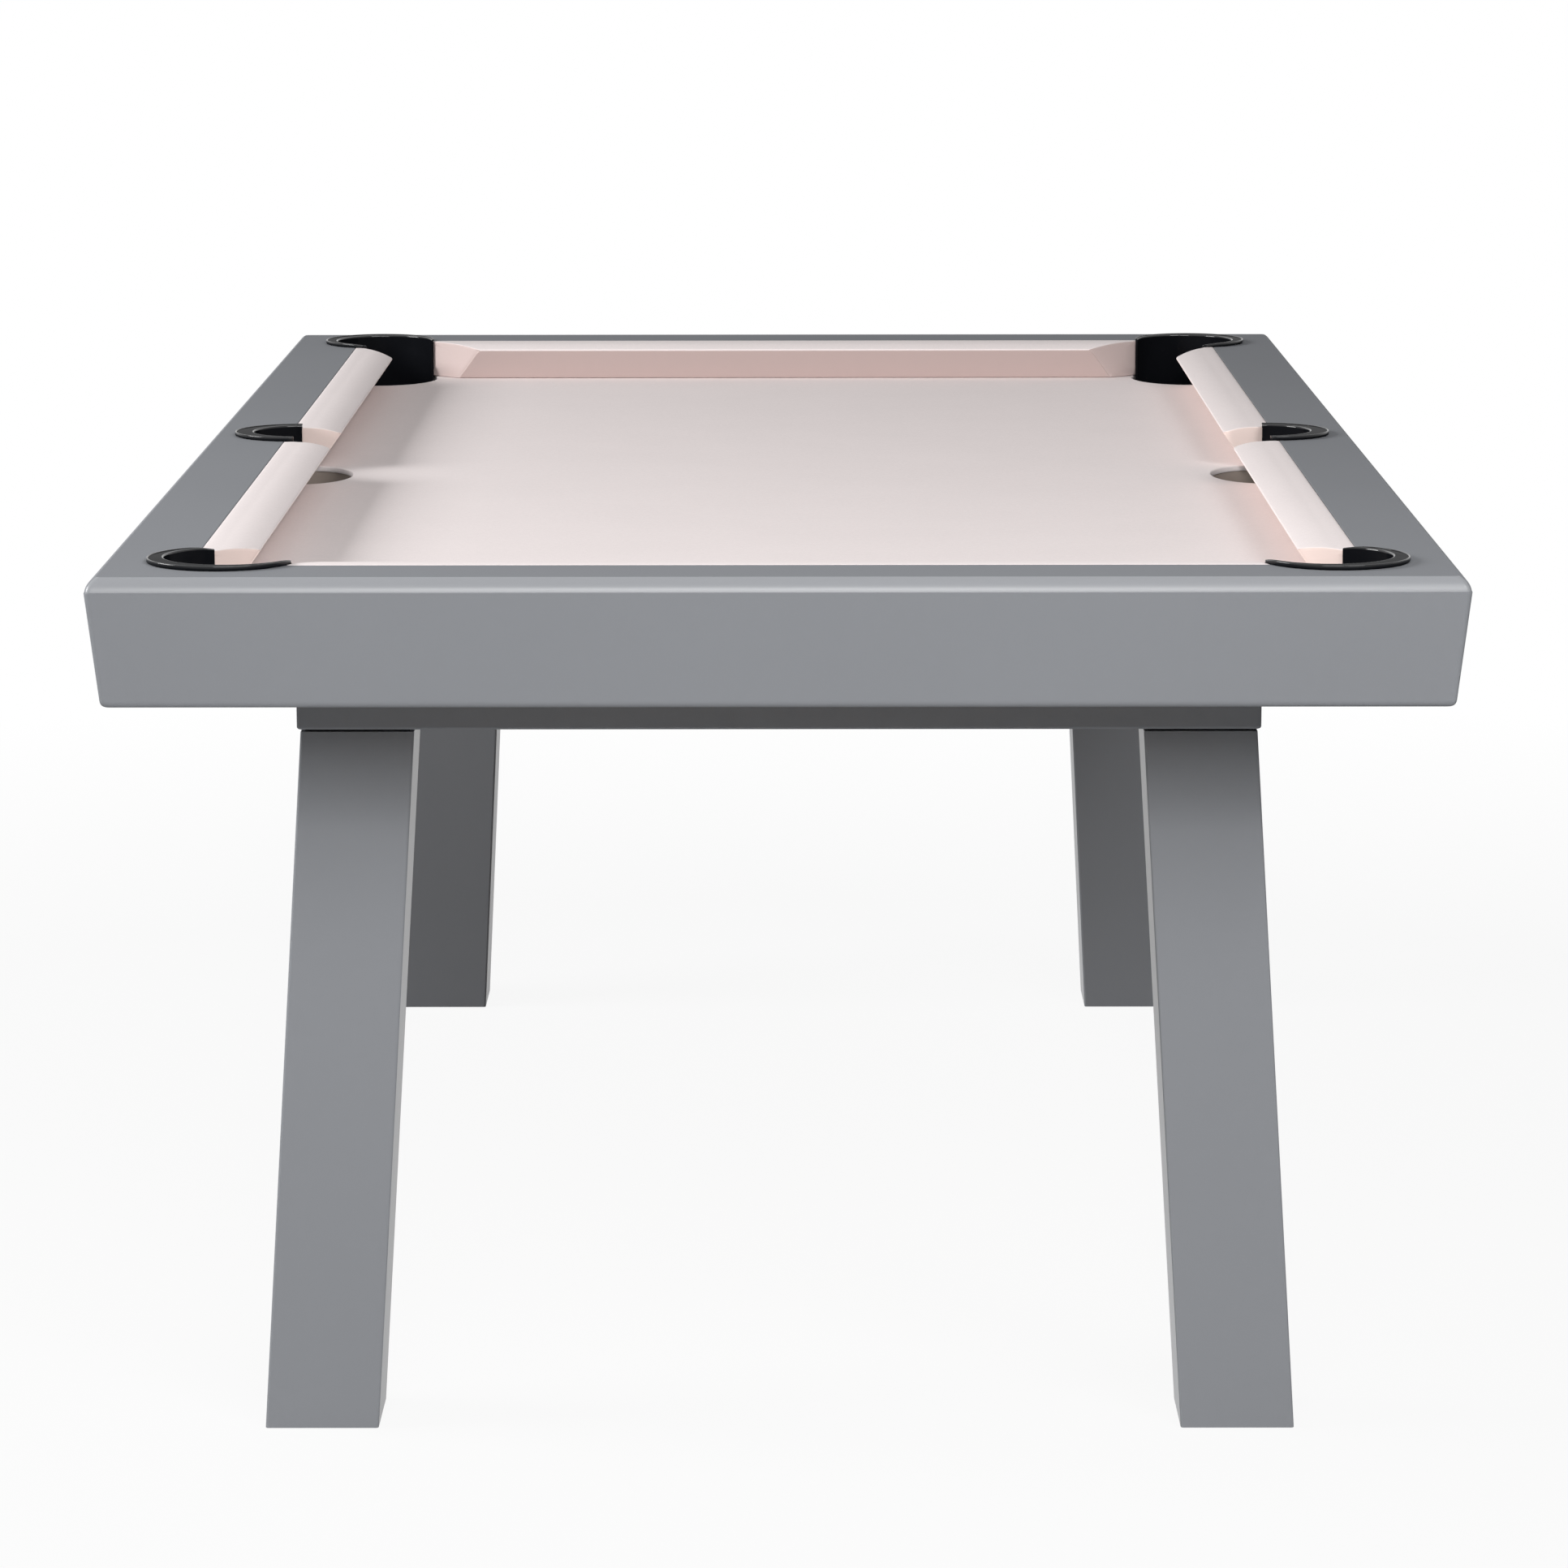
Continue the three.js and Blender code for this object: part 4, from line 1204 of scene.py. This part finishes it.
class POOL_OT_cushions(bpy.types.Operator):
    """Build the six cloth-covered cushions"""

    bl_idname = "pool_table.cushions"
    bl_label = "Cushions"

    def execute(self, context):
        cushion = settings().cushion
        # Two copies of the cloth, whose painted face shade differs: the end cushions' is darker.
        side_cushion_cloth = wool_cloth("blush_bed_cloth", colours().wrapped)
        end_cushion_shaded_cloth = wool_cloth("blush_end_cloth", colours().end_face)
        width = RAIL_INNER_X - CUSHION_NOSE_X
        corner_x, corner_y, _ = pocket_centres()
        nose_end = -SIDE_CUSHION_START - cushion.side_cut
        at_side = cushion_end(-SIDE_CUSHION_START, nose_end, width, cushion.nose_rounding)
        at_corner = cushion_at_pocket(CUSHION_NOSE_X, corner_x, corner_y)
        at_end = cushion_at_pocket(CUSHION_NOSE_Y, corner_y, corner_x)
        ends = backwards(at_side), at_corner
        sizes = RAIL_INNER_X, CUSHION_NOSE_X, cushion.foot_setback, ends, 1.0
        for corner, (x, y) in CORNERS.items():
            self.build(f"{corner}_side_cushion", *sizes, side_place(x, y), side_cushion_cloth)
        ends = backwards(at_end), at_end
        sizes = RAIL_INNER_Y, CUSHION_NOSE_Y, cushion.end_setback, ends, 0.9
        for end, y in ENDS.items():
            self.build(f"{end}_end_cushion", *sizes, end_place(y), end_cushion_shaded_cloth)
        return {"FINISHED"}

    def build(self, node, *sizes):
        """One cushion, which stands for a node of the frame."""
        made = cushion_piece(f"{node}_cloth", *sizes)
        seat(made, "table", "cloth", node)


# ---- Bed ---------------------------------------------------------------------------------------

def bed_quarter():
    """The bed's outline in one quarter, from a side pocket round to the middle of the end."""
    bed = settings().bed
    corner_x, corner_y, side_x = pocket_centres()
    x, across, along = corner_x + bed.corner_shift, bed.corner_across, bed.corner_along
    outline = oval(side_x, 0, bed.side_hole_reach, bed.side_hole, 180, 90, 24)
    outline += [(SLAB_HALF_X, bed.side_hole), (SLAB_HALF_X, corner_y - along / 2)]
    outline += oval(x, corner_y, across, along, 330, 120, 48)
    return outline + [(x - across / 2, SLAB_HALF_Y)]


def bed_rings(rings):
    """The bed's whole outline, set outwards by each ring's distance, at its level."""
    quarter = bed_quarter()
    back = quarter + [(-x, y) for x, y in reversed(quarter)][:-1]
    outline = back + [(-x, -y) for x, y in back]
    count = len(outline)
    normals = []
    for i, (x, y) in enumerate(outline):
        (ax, ay), (bx, by) = outline[i - 1], outline[(i + 1) % count]
        ux, uy = x - ax, y - ay
        vx, vy = bx - x, by - y
        u, v = math.hypot(ux, uy), math.hypot(vx, vy)
        nx, ny = uy / u + vy / v, -ux / u - vx / v
        scale = 2 / (nx * nx + ny * ny)
        normals.append((nx * min(scale, 1.0), ny * min(scale, 1.0)))
    return [
        [(x + nx * distance, y + ny * distance, level) for (x, y), (nx, ny) in zip(outline, normals)]
        for distance, level in rings
    ]


class POOL_OT_bed_slab(bpy.types.Operator):
    """Build the fibreboard slab with its cut-outs"""

    bl_idname = "pool_table.bed_slab"
    bl_label = "Bed Slab"

    def execute(self, context):
        arris, flat = settings().casing.arris, 3 * MM
        bevel = arris * 0.3
        levels = [(-flat, SLAB_BOTTOM), (-arris, SLAB_BOTTOM), (-bevel, SLAB_BOTTOM + bevel)]
        levels += [(0, SLAB_BOTTOM + arris), (0, SLAB_TOP - arris)]
        levels += [(-bevel, SLAB_TOP - bevel), (-arris, SLAB_TOP), (-flat, SLAB_TOP)]
        points, faces = lofted(bed_rings(levels))
        piece = new_piece("bed_slab_board", points, faces, fibreboard())
        weight_normals(piece)
        seat(piece, "table", "slab_board", "bed_slab")
        return {"FINISHED"}


class POOL_OT_bed_cloth(bpy.types.Operator):
    """Build the bed cloth, stretched over the slab and glued down the walls of its cut-outs"""

    bl_idname = "pool_table.bed_cloth"
    bl_label = "Bed Cloth"

    def execute(self, context):
        bed = settings().bed
        glue, flat = 0.1 * MM, 2 * MM
        roll, outside = bed.roll, bed.thickness + glue
        levels = [(-2 * flat, CLOTH_TOP), (-flat, CLOTH_TOP), (outside - roll - 0.4 * MM, CLOTH_TOP)]
        levels += arc(outside - roll, CLOTH_TOP - roll, roll, 90, 0, 6)
        levels += [(outside, SLAB_TOP - bed.turn_down / 2), (outside, SLAB_TOP - bed.turn_down)]
        rings = bed_rings(levels)
        points, faces = skin(rings)
        faces.append(tuple(range(len(rings[0]))))
        finish = wool_cloth("blush_bed_cloth", colours().wrapped)
        piece = new_piece("bed_cloth_sheet", points, faces, finish, crease=40.0, sheet=True)
        thick = piece.modifiers.new("thickness", "SOLIDIFY")
        thick.thickness, thick.offset, thick.use_even_offset = bed.thickness, -1.0, True
        weight_normals(piece)
        seat(piece, "table", "cloth", "bed_cloth")
        return {"FINISHED"}


# ---- Fittings ----------------------------------------------------------------------------------

SOCKETS = {int: "NodeSocketInt", float: "NodeSocketFloat", tuple: "NodeSocketVector"}


def detailed(piece, sizes, build):
    """Makes the piece plain again after build(graph, wires) has repeated its details over it."""
    tree = bpy.data.node_groups.new(f"{piece.name}_details", "GeometryNodeTree")
    graph = Graph(tree)
    tree.interface.new_socket("Base", in_out="INPUT", socket_type="NodeSocketGeometry")
    modifier = piece.modifiers.new("details", "NODES")
    places = {}
    for label, value in sizes.items():
        socket = tree.interface.new_socket(label, in_out="INPUT", socket_type=SOCKETS[type(value)])
        places[socket.identifier] = value
    tree.interface.new_socket("Geometry", in_out="OUTPUT", socket_type="NodeSocketGeometry")
    entry = tree.nodes.new("NodeGroupInput")
    wires = {label: Wire(graph, entry.outputs[label]) for label in ("Base", *sizes)}
    whole = graph.add("GeometryNodeRealizeInstances", {"Geometry": build(graph, wires)})
    finish = piece.data.materials[0]
    whole = graph.add("GeometryNodeSetMaterial", {"Geometry": whole, "Material": finish})
    graph.add("NodeGroupOutput", {"Geometry": whole})
    modifier.node_group = tree
    for place, value in places.items():
        modifier[place] = value

    seen = piece.evaluated_get(bpy.context.evaluated_depsgraph_get())
    mesh = bpy.data.meshes.new_from_object(seen)
    piece.modifiers.clear()
    if len(mesh.polygons) <= len(piece.data.polygons):
        raise RuntimeError(f"{piece.name}: its node tree added nothing")
    mesh.name = piece.name
    mesh.materials.clear()
    mesh.materials.append(finish)
    mesh.polygons.foreach_set("material_index", [0] * len(mesh.polygons))
    mesh.shade_smooth()
    mesh.set_sharp_from_angle(angle=math.radians(40))
    piece.data = mesh
    return piece


def moved(graph, shape, place):
    return graph.add("GeometryNodeTransform", {"Geometry": shape, "Translation": place})


def lowered(graph, shape, level):
    return moved(graph, shape, graph.add("ShaderNodeCombineXYZ", {"Z": level * -1.0}))


def joined(graph, *shapes):
    return graph.add("GeometryNodeJoinGeometry", {"Geometry": list(shapes)})


def bolt_heads(graph, wires):
    """A washer and a chamfered hexagon head hanging from each point of the base."""
    thick, height, radius = wires["Washer Thickness"], wires["Head Height"], wires["Head Radius"]
    chamfer = height * 0.18
    body = height - chamfer
    washer = {"Vertices": 32, "Radius": wires["Washer Radius"], "Depth": thick}
    prism = {"Vertices": 6, "Radius": radius, "Depth": body}
    face = {"Vertices": 24, "Radius Top": radius * 0.72, "Radius Bottom": radius * 0.86, "Depth": chamfer}
    face = graph.add("GeometryNodeMeshCone", face)
    face = graph.add("GeometryNodeTransform", {"Geometry": face, "Rotation": (math.pi, 0.0, 0.0)})
    head = joined(
        graph,
        lowered(graph, graph.add("GeometryNodeMeshCylinder", washer), thick * 0.5),
        lowered(graph, graph.add("GeometryNodeMeshCylinder", prism), thick + body * 0.5),
        lowered(graph, face, thick + body),
    )
    return graph.add("GeometryNodeInstanceOnPoints", {"Points": wires["Base"], "Instance": head})


def block_row(graph, wires):
    """The base, repeated in a straight line."""
    line = {"Count": wires["Count"], "Start Location": (0.0, 0.0, 0.0), "Offset": wires["Spacing"]}
    line = graph.add("GeometryNodeMeshLine", line)
    return graph.add("GeometryNodeInstanceOnPoints", {"Points": line, "Instance": wires["Base"]})


def finger_ribs(graph, wires):
    """Upright ribs round the base, which is a leveler's pad."""
    ring = {"Vertices": wires["Ribs"], "Radius": wires["Ring Radius"]}
    ring = graph.add("GeometryNodeMeshCircle", ring)
    rib = {"Vertices": 12, "Radius": wires["Rib Radius"], "Depth": wires["Rib Height"]}
    rib = graph.add("GeometryNodeMeshCylinder", rib)
    ribs = graph.add("GeometryNodeInstanceOnPoints", {"Points": ring, "Instance": rib})
    return joined(graph, wires["Base"], moved(graph, ribs, wires["Centre"]))


def screw_thread(graph, wires):
    """A helical ridge up the base, which is a leveler's stud."""
    core = wires["Core Radius"]
    spiral = {"Resolution": 24, "Rotations": wires["Turns"], "Height": wires["Thread Height"]}
    spiral = graph.add("GeometryNodeCurveSpiral", {**spiral, "Start Radius": core, "End Radius": core})
    ridge = {"Resolution": 6, "Radius": wires["Ridge Radius"]}
    ridge = graph.add("GeometryNodeCurvePrimitiveCircle", ridge)
    thread = {"Curve": spiral, "Profile Curve": ridge, "Fill Caps": True}
    thread = graph.add("GeometryNodeCurveToMesh", thread)
    return joined(graph, wires["Base"], moved(graph, thread, wires["Foot"]))


def eased_bar(section, half, ease, place):
    """Points and faces of a straight bar of one section, its ends eased like its edges."""
    middle = [sum(point[axis] for point in section) / len(section) for axis in (0, 1)]
    end = 1 - ease / (max(d for d, _ in section) - middle[0])
    rings = []
    for run, share in ((-half, end), (ease - half, 1.0), (half - ease, 1.0), (half, end)):
        ring = [between(middle, point, share) for point in section]
        rings.append([place(d, run, z) for d, z in ring])
    return lofted(rings)


def spaced(start, stop, count):
    """The middles of equal lengths between start and stop."""
    return [start + (stop - start) * (i + 0.5) / count for i in range(count)]


class POOL_OT_rail_bolts(bpy.types.Operator):
    """Build the bolts that hold the rails down, seen under the slab"""

    bl_idname = "pool_table.rail_bolts"
    bl_label = "Rail Bolts"

    def execute(self, context):
        fittings, pocket = settings().fittings, settings().pocket
        corner_x, corner_y, _ = pocket_centres()
        clear = pocket.corner_radius + fittings.washer
        line_x, line_y = RAIL_INNER_X + fittings.bolt_inset, RAIL_INNER_Y + fittings.bolt_inset
        along = spaced(clear, corner_y - clear, fittings.rail_bolts)
        across = spaced(clear - corner_x, corner_x - clear, fittings.rail_bolts)
        points = [(x * line_x, y * run, SLAB_BOTTOM) for x in (-1, 1) for y in (-1, 1) for run in along]
        points += [(run, y * line_y, SLAB_BOTTOM) for y in (-1, 1) for run in across]
        sizes = {
            "Washer Radius": fittings.washer,
            "Washer Thickness": fittings.washer_thickness,
            "Head Radius": fittings.bolt_head,
            "Head Height": fittings.head_height,
        }
        bolts = new_piece("rail_bolt_heads", points, [], zinc_steel())
        seat(detailed(bolts, sizes, bolt_heads), "table", "steel")
        return {"FINISHED"}


class POOL_OT_glue_blocks(bpy.types.Operator):
    """Build the glue blocks in the corner between the slab and the aprons"""

    bl_idname = "pool_table.glue_blocks"
    bl_label = "Glue Blocks"

    def execute(self, context):
        casing, fittings = settings().casing, settings().fittings
        size, ease = fittings.block_size, 2 * MM
        slope = casing.apron_lean / (RAIL_TOP - casing.bullnose - APRON_BOTTOM)
        top, glue = SLAB_BOTTOM - fittings.reveal, 0.3 * MM
        back = -glue - casing.apron_thickness - slope * (RAIL_TOP - casing.bullnose - top)
        foot, chamfer = back - slope * size, size * 0.62
        section = [(back - ease, top), (back, top - ease), (foot, top - size + ease)]
        section += [(foot - ease, top - size), (back - chamfer, top - size), (back - size, top - chamfer)]
        section += [(back - size, top - ease), (back - size + ease, top)]
        corner_x, corner_y, _ = pocket_centres()
        inset = settings().pocket.corner_radius + fittings.block_length
        rows = {
            "right": (RAIL_OUTER_X, fittings.side_blocks, corner_y - inset, side_place(1)),
            "left": (RAIL_OUTER_X, fittings.side_blocks, corner_y - inset, side_place(-1)),
            "back": (RAIL_OUTER_Y, fittings.end_blocks, corner_x - inset, end_place(1)),
            "front": (RAIL_OUTER_Y, fittings.end_blocks, corner_x - inset, end_place(-1)),
        }
        for name, (outer, count, reach, place) in rows.items():
            start = Vector(place(0, -reach, 0))
            step = (Vector(place(0, reach, 0)) - start) / (count - 1)

            def at_start(distance, run, level):
                return place(outer + distance, run - reach, level)

            first = eased_bar(section, fittings.block_length / 2, ease, at_start)
            block = new_piece(f"{name}_glue_blocks", *first, softwood("softwood_blocks", 2))
            seat(detailed(block, {"Count": count, "Spacing": tuple(step)}, block_row), "table", "timber")
        return {"FINISHED"}


class POOL_OT_levelers(bpy.types.Operator):
    """Build the levelers' ribbed pads and threaded studs"""

    bl_idname = "pool_table.levelers"
    bl_label = "Levelers"

    def execute(self, context):
        fittings = settings().fittings
        for corner, (x, y) in CORNERS.items():
            self.build_pad(fittings, corner, (x * FOOT[0], y * FOOT[1]))
            self.build_stud(fittings, corner, (x * FOOT[0], y * FOOT[1]))
        return {"FINISHED"}

    def build_pad(self, fittings, corner, middle):
        foot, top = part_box(f"{corner}_leveler_pad")
        rib, ease, play = fittings.rib_radius, 1 * MM, fittings.play
        outer = (top[0] - foot[0]) / 2
        body, hole = outer - rib * 0.9, fittings.stud_radius + play
        socket = low(f"{corner}_leveler_stud")[2] - play
        profile = [(0, foot[2]), (body - ease, foot[2]), (body, foot[2] + ease)]
        profile += arc(body - ease, top[2] - ease, ease, 0, 90, 4)
        profile += [(hole + ease, top[2]), (hole, top[2] - ease / 2), (hole, socket), (0, socket)]
        sizes = {
            "Ribs": fittings.pad_ribs,
            "Ring Radius": outer - rib,
            "Rib Radius": rib,
            "Rib Height": top[2] - foot[2] - 2 * ease,
            "Centre": (*middle, (foot[2] + top[2]) / 2),
        }
        pad = new_piece(f"{corner}_ribbed_pad", *turned(profile, *middle), pad_nylon())
        seat(detailed(pad, sizes, finger_ribs), f"{corner}_pad", "pad_plastic", f"{corner}_leveler_pad")

    def build_stud(self, fittings, corner, middle):
        foot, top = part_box(f"{corner}_leveler_stud")
        radius, depth, ease = fittings.stud_radius, fittings.thread_depth, 0.8 * MM
        core = radius - depth
        nut_foot = high(f"{corner}_leveler_pad")[2] + fittings.play
        nut_top, nut = nut_foot + fittings.nut_height, (top[1] - foot[1]) / 2
        profile = [(0, foot[2]), (radius - ease, foot[2]), (radius, foot[2] + ease)]
        profile += [(radius, nut_foot + ease), (core, nut_top + ease), (core, top[2] - ease)]
        profile += [(core - ease, top[2]), (0, top[2])]
        points, faces = turned(profile, *middle)
        profile = [(0, nut_foot), (nut * 0.9, nut_foot), (nut, nut_foot + ease / 2)]
        profile += [(nut, nut_top - ease / 2), (nut * 0.9, nut_top), (0, nut_top)]
        nut_points, nut_faces = turned(profile, *middle, sides=6, start=math.pi / 2)
        faces += [tuple(index + len(points) for index in face) for face in nut_faces]
        height = top[2] - ease - depth - (nut_top + ease)
        sizes = {
            "Core Radius": core,
            "Ridge Radius": depth,
            "Turns": height / fittings.thread_pitch,
            "Thread Height": height,
            "Foot": (*middle, nut_top + ease),
        }
        stud = new_piece(f"{corner}_threaded_stud", points + nut_points, faces, zinc_steel())
        seat(detailed(stud, sizes, screw_thread), f"{corner}_stud", "steel", f"{corner}_leveler_stud")


class POOL_OT_boards(bpy.types.Operator):
    """Build the boards under the slab, and finish the blocks and the steel beside them"""

    bl_idname = "pool_table.boards"
    bl_label = "Boards"

    def execute(self, context):
        planed, casing = softwood("softwood_across", 0), settings().casing
        ease = casing.board_ease
        for place in ("front", "middle", "back"):
            foot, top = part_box(f"{place}_cross_beam")
            section = arc(foot[1] + ease, foot[2] + ease, ease, 180, 270, 4)
            section += arc(top[1] - ease, foot[2] + ease, ease, 270, 360, 4)
            section += [(top[1], top[2]), (foot[1], top[2])]
            board = eased_bar(section, top[0], casing.board_end, lambda y, run, z: (run, y, z))
            made = new_piece(f"{place}_cross_board", *board, planed)
            seat(made, "table", "timber", f"{place}_cross_beam")
        finishes = {}
        for corner in CORNERS:
            finishes[f"{corner}_corner_block"] = softwood("softwood_upright", 2)
            finishes[f"{corner}_leg_plate"] = blacked_steel()
            finishes[f"{corner}_leveler_insert"] = zinc_steel()
            finishes[f"{corner}_leg_bolt"] = zinc_steel()
        for node, finish in finishes.items():
            for material_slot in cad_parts[node].material_slots:
                material_slot.material = finish
        return {"FINISHED"}


# ---- Stage -------------------------------------------------------------------------------------

def soft_lamp(name, place, aim, size, watts):
    """An oblong lamp at a place, pointed at another."""
    lamp = bpy.data.lights.new(name, "AREA")
    lamp.shape, lamp.size, lamp.size_y = "RECTANGLE", *size
    lamp.energy = watts
    holder = bpy.data.objects.new(name, lamp)
    holder.location = place
    holder.rotation_euler = (Vector(aim) - Vector(place)).to_track_quat("-Z", "Y").to_euler()
    bpy.context.scene.collection.objects.link(holder)
    return holder


def backdrop_rays(graph):
    """1 for the rays that should see a white background, 0 for those that light the object."""
    camera = graph.add("ShaderNodeLightPath", output=0)
    glossy = graph.add("ShaderNodeLightPath", output=3)
    clear = graph.add("ShaderNodeLightPath", output=6)
    return camera.math("MAXIMUM", camera.math("MAXIMUM", camera, glossy), clear)


class POOL_OT_stage(bpy.types.Operator):
    """Set the camera, the lamps, the white room and the floor"""

    bl_idname = "pool_table.stage"
    bl_label = "Stage"

    def execute(self, context):
        stage = settings().stage
        scene = context.scene
        scene.view_settings.view_transform = "Standard"

        lens = bpy.data.cameras.new("camera")
        lens.lens, lens.sensor_width, lens.clip_end = stage.lens, 36.0, 200.0
        camera = bpy.data.objects.new("camera", lens)
        pan, roll = Matrix.Rotation(stage.pan, 4, "Z"), Matrix.Rotation(stage.roll, 4, "Z")
        tilt = Matrix.Rotation(math.pi / 2 - stage.tilt, 4, "X")
        camera.matrix_world = Matrix.Translation(stage.camera) @ pan @ tilt @ roll
        scene.collection.objects.link(camera)
        scene.camera = camera

        soft_lamp("key_lamp", (2.6, -4.6, 4.2), (0, -0.3, 0.6), (2.4, 2.4), stage.key)
        soft_lamp("side_lamp", (-4.5, -0.5, 2.6), (0, 0, 0.8), (2.4, 1.6), stage.side)
        soft_lamp("front_lamp", (0, -4.4, 2.4), (0, -0.9, 0.6), (2.0, 1.4), stage.front)
        soft_lamp("back_lamp", (-1.5, 4.5, 3.4), (0, 0, 0.8), (2.4, 1.6), stage.back)

        world = bpy.data.worlds.new("white_room")
        world.use_nodes = True
        graph = Graph(world.node_tree)
        rays = backdrop_rays(graph)
        strength = rays + (1 - rays) * stage.room
        light = graph.add("ShaderNodeBackground", {"Color": (1, 1, 1, 1), "Strength": strength})
        graph.add("ShaderNodeOutputWorld", {"Surface": light})
        scene.world = world

        floor = bpy.data.meshes.new("floor")
        half = 80.0
        square = [(-half, -half, 0), (half, -half, 0), (half, half, 0), (-half, half, 0)]
        floor.from_pydata(square, [], [(0, 1, 2, 3)])
        material = bpy.data.materials.new("pale_floor")
        material.use_nodes = True
        graph = Graph(material.node_tree)
        paint = graph.add("ShaderNodeBsdfDiffuse", {"Color": (0.5, 0.5, 0.5, 1)})
        glow = graph.add("ShaderNodeEmission", {"Color": (1, 1, 1, 1), "Strength": 1.0})
        away = graph.add("ShaderNodeVectorMath", {0: graph.place()}, output=1, operation="LENGTH")
        factor = backdrop_rays(graph) * graph.share(away, 1.6, 3.4, 0.92)
        mixed = graph.add("ShaderNodeMixShader", {0: factor, 1: paint, 2: glow})
        graph.add("ShaderNodeOutputMaterial", {"Surface": mixed})
        floor.materials.append(material)
        ground = bpy.data.objects.new("floor", floor)
        scene.collection.objects.link(ground)
        return {"FINISHED"}


class POOL_PT_table(bpy.types.Panel):
    """Lists the table's pieces and their settings"""

    bl_idname = "POOL_PT_table"
    bl_label = "Pool Table"
    bl_space_type = "VIEW_3D"
    bl_region_type = "UI"
    bl_category = "Pool Table"

    def draw(self, context):
        table = context.scene.pool_table
        for operator in OPERATORS:
            self.layout.operator(operator.bl_idname)
        for part in type(table).__annotations__:
            group, box = getattr(table, part), self.layout.box()
            for name in type(group).__annotations__:
                box.prop(group, name)


OPERATORS = (
    POOL_OT_stage,
    POOL_OT_casing,
    POOL_OT_legs,
    POOL_OT_pockets,
    POOL_OT_pocket_collars,
    POOL_OT_cushions,
    POOL_OT_bed_slab,
    POOL_OT_bed_cloth,
    POOL_OT_rail_bolts,
    POOL_OT_glue_blocks,
    POOL_OT_levelers,
    POOL_OT_boards,
)
CLASSES = (
    POOL_PG_casing,
    POOL_PG_pocket,
    POOL_PG_cushion,
    POOL_PG_bed,
    POOL_PG_fittings,
    POOL_PG_colours,
    POOL_PG_stage,
    POOL_PG_table,
    *OPERATORS,
    POOL_PT_table,
)


def register():
    for cls in CLASSES:
        bpy.utils.register_class(cls)
    bpy.types.Scene.pool_table = bpy.props.PointerProperty(type=POOL_PG_table)


def unregister():
    del bpy.types.Scene.pool_table
    for cls in reversed(CLASSES):
        bpy.utils.unregister_class(cls)


def main():
    register()
    bpy.ops.pool_table.stage()
    bpy.ops.pool_table.casing()
    bpy.ops.pool_table.legs()
    bpy.ops.pool_table.pockets()
    bpy.ops.pool_table.pocket_collars()
    bpy.ops.pool_table.cushions()
    bpy.ops.pool_table.bed_slab()
    bpy.ops.pool_table.bed_cloth()
    bpy.ops.pool_table.rail_bolts()
    bpy.ops.pool_table.glue_blocks()
    bpy.ops.pool_table.levelers()
    bpy.ops.pool_table.boards()


if __name__ == "__main__":
    main()
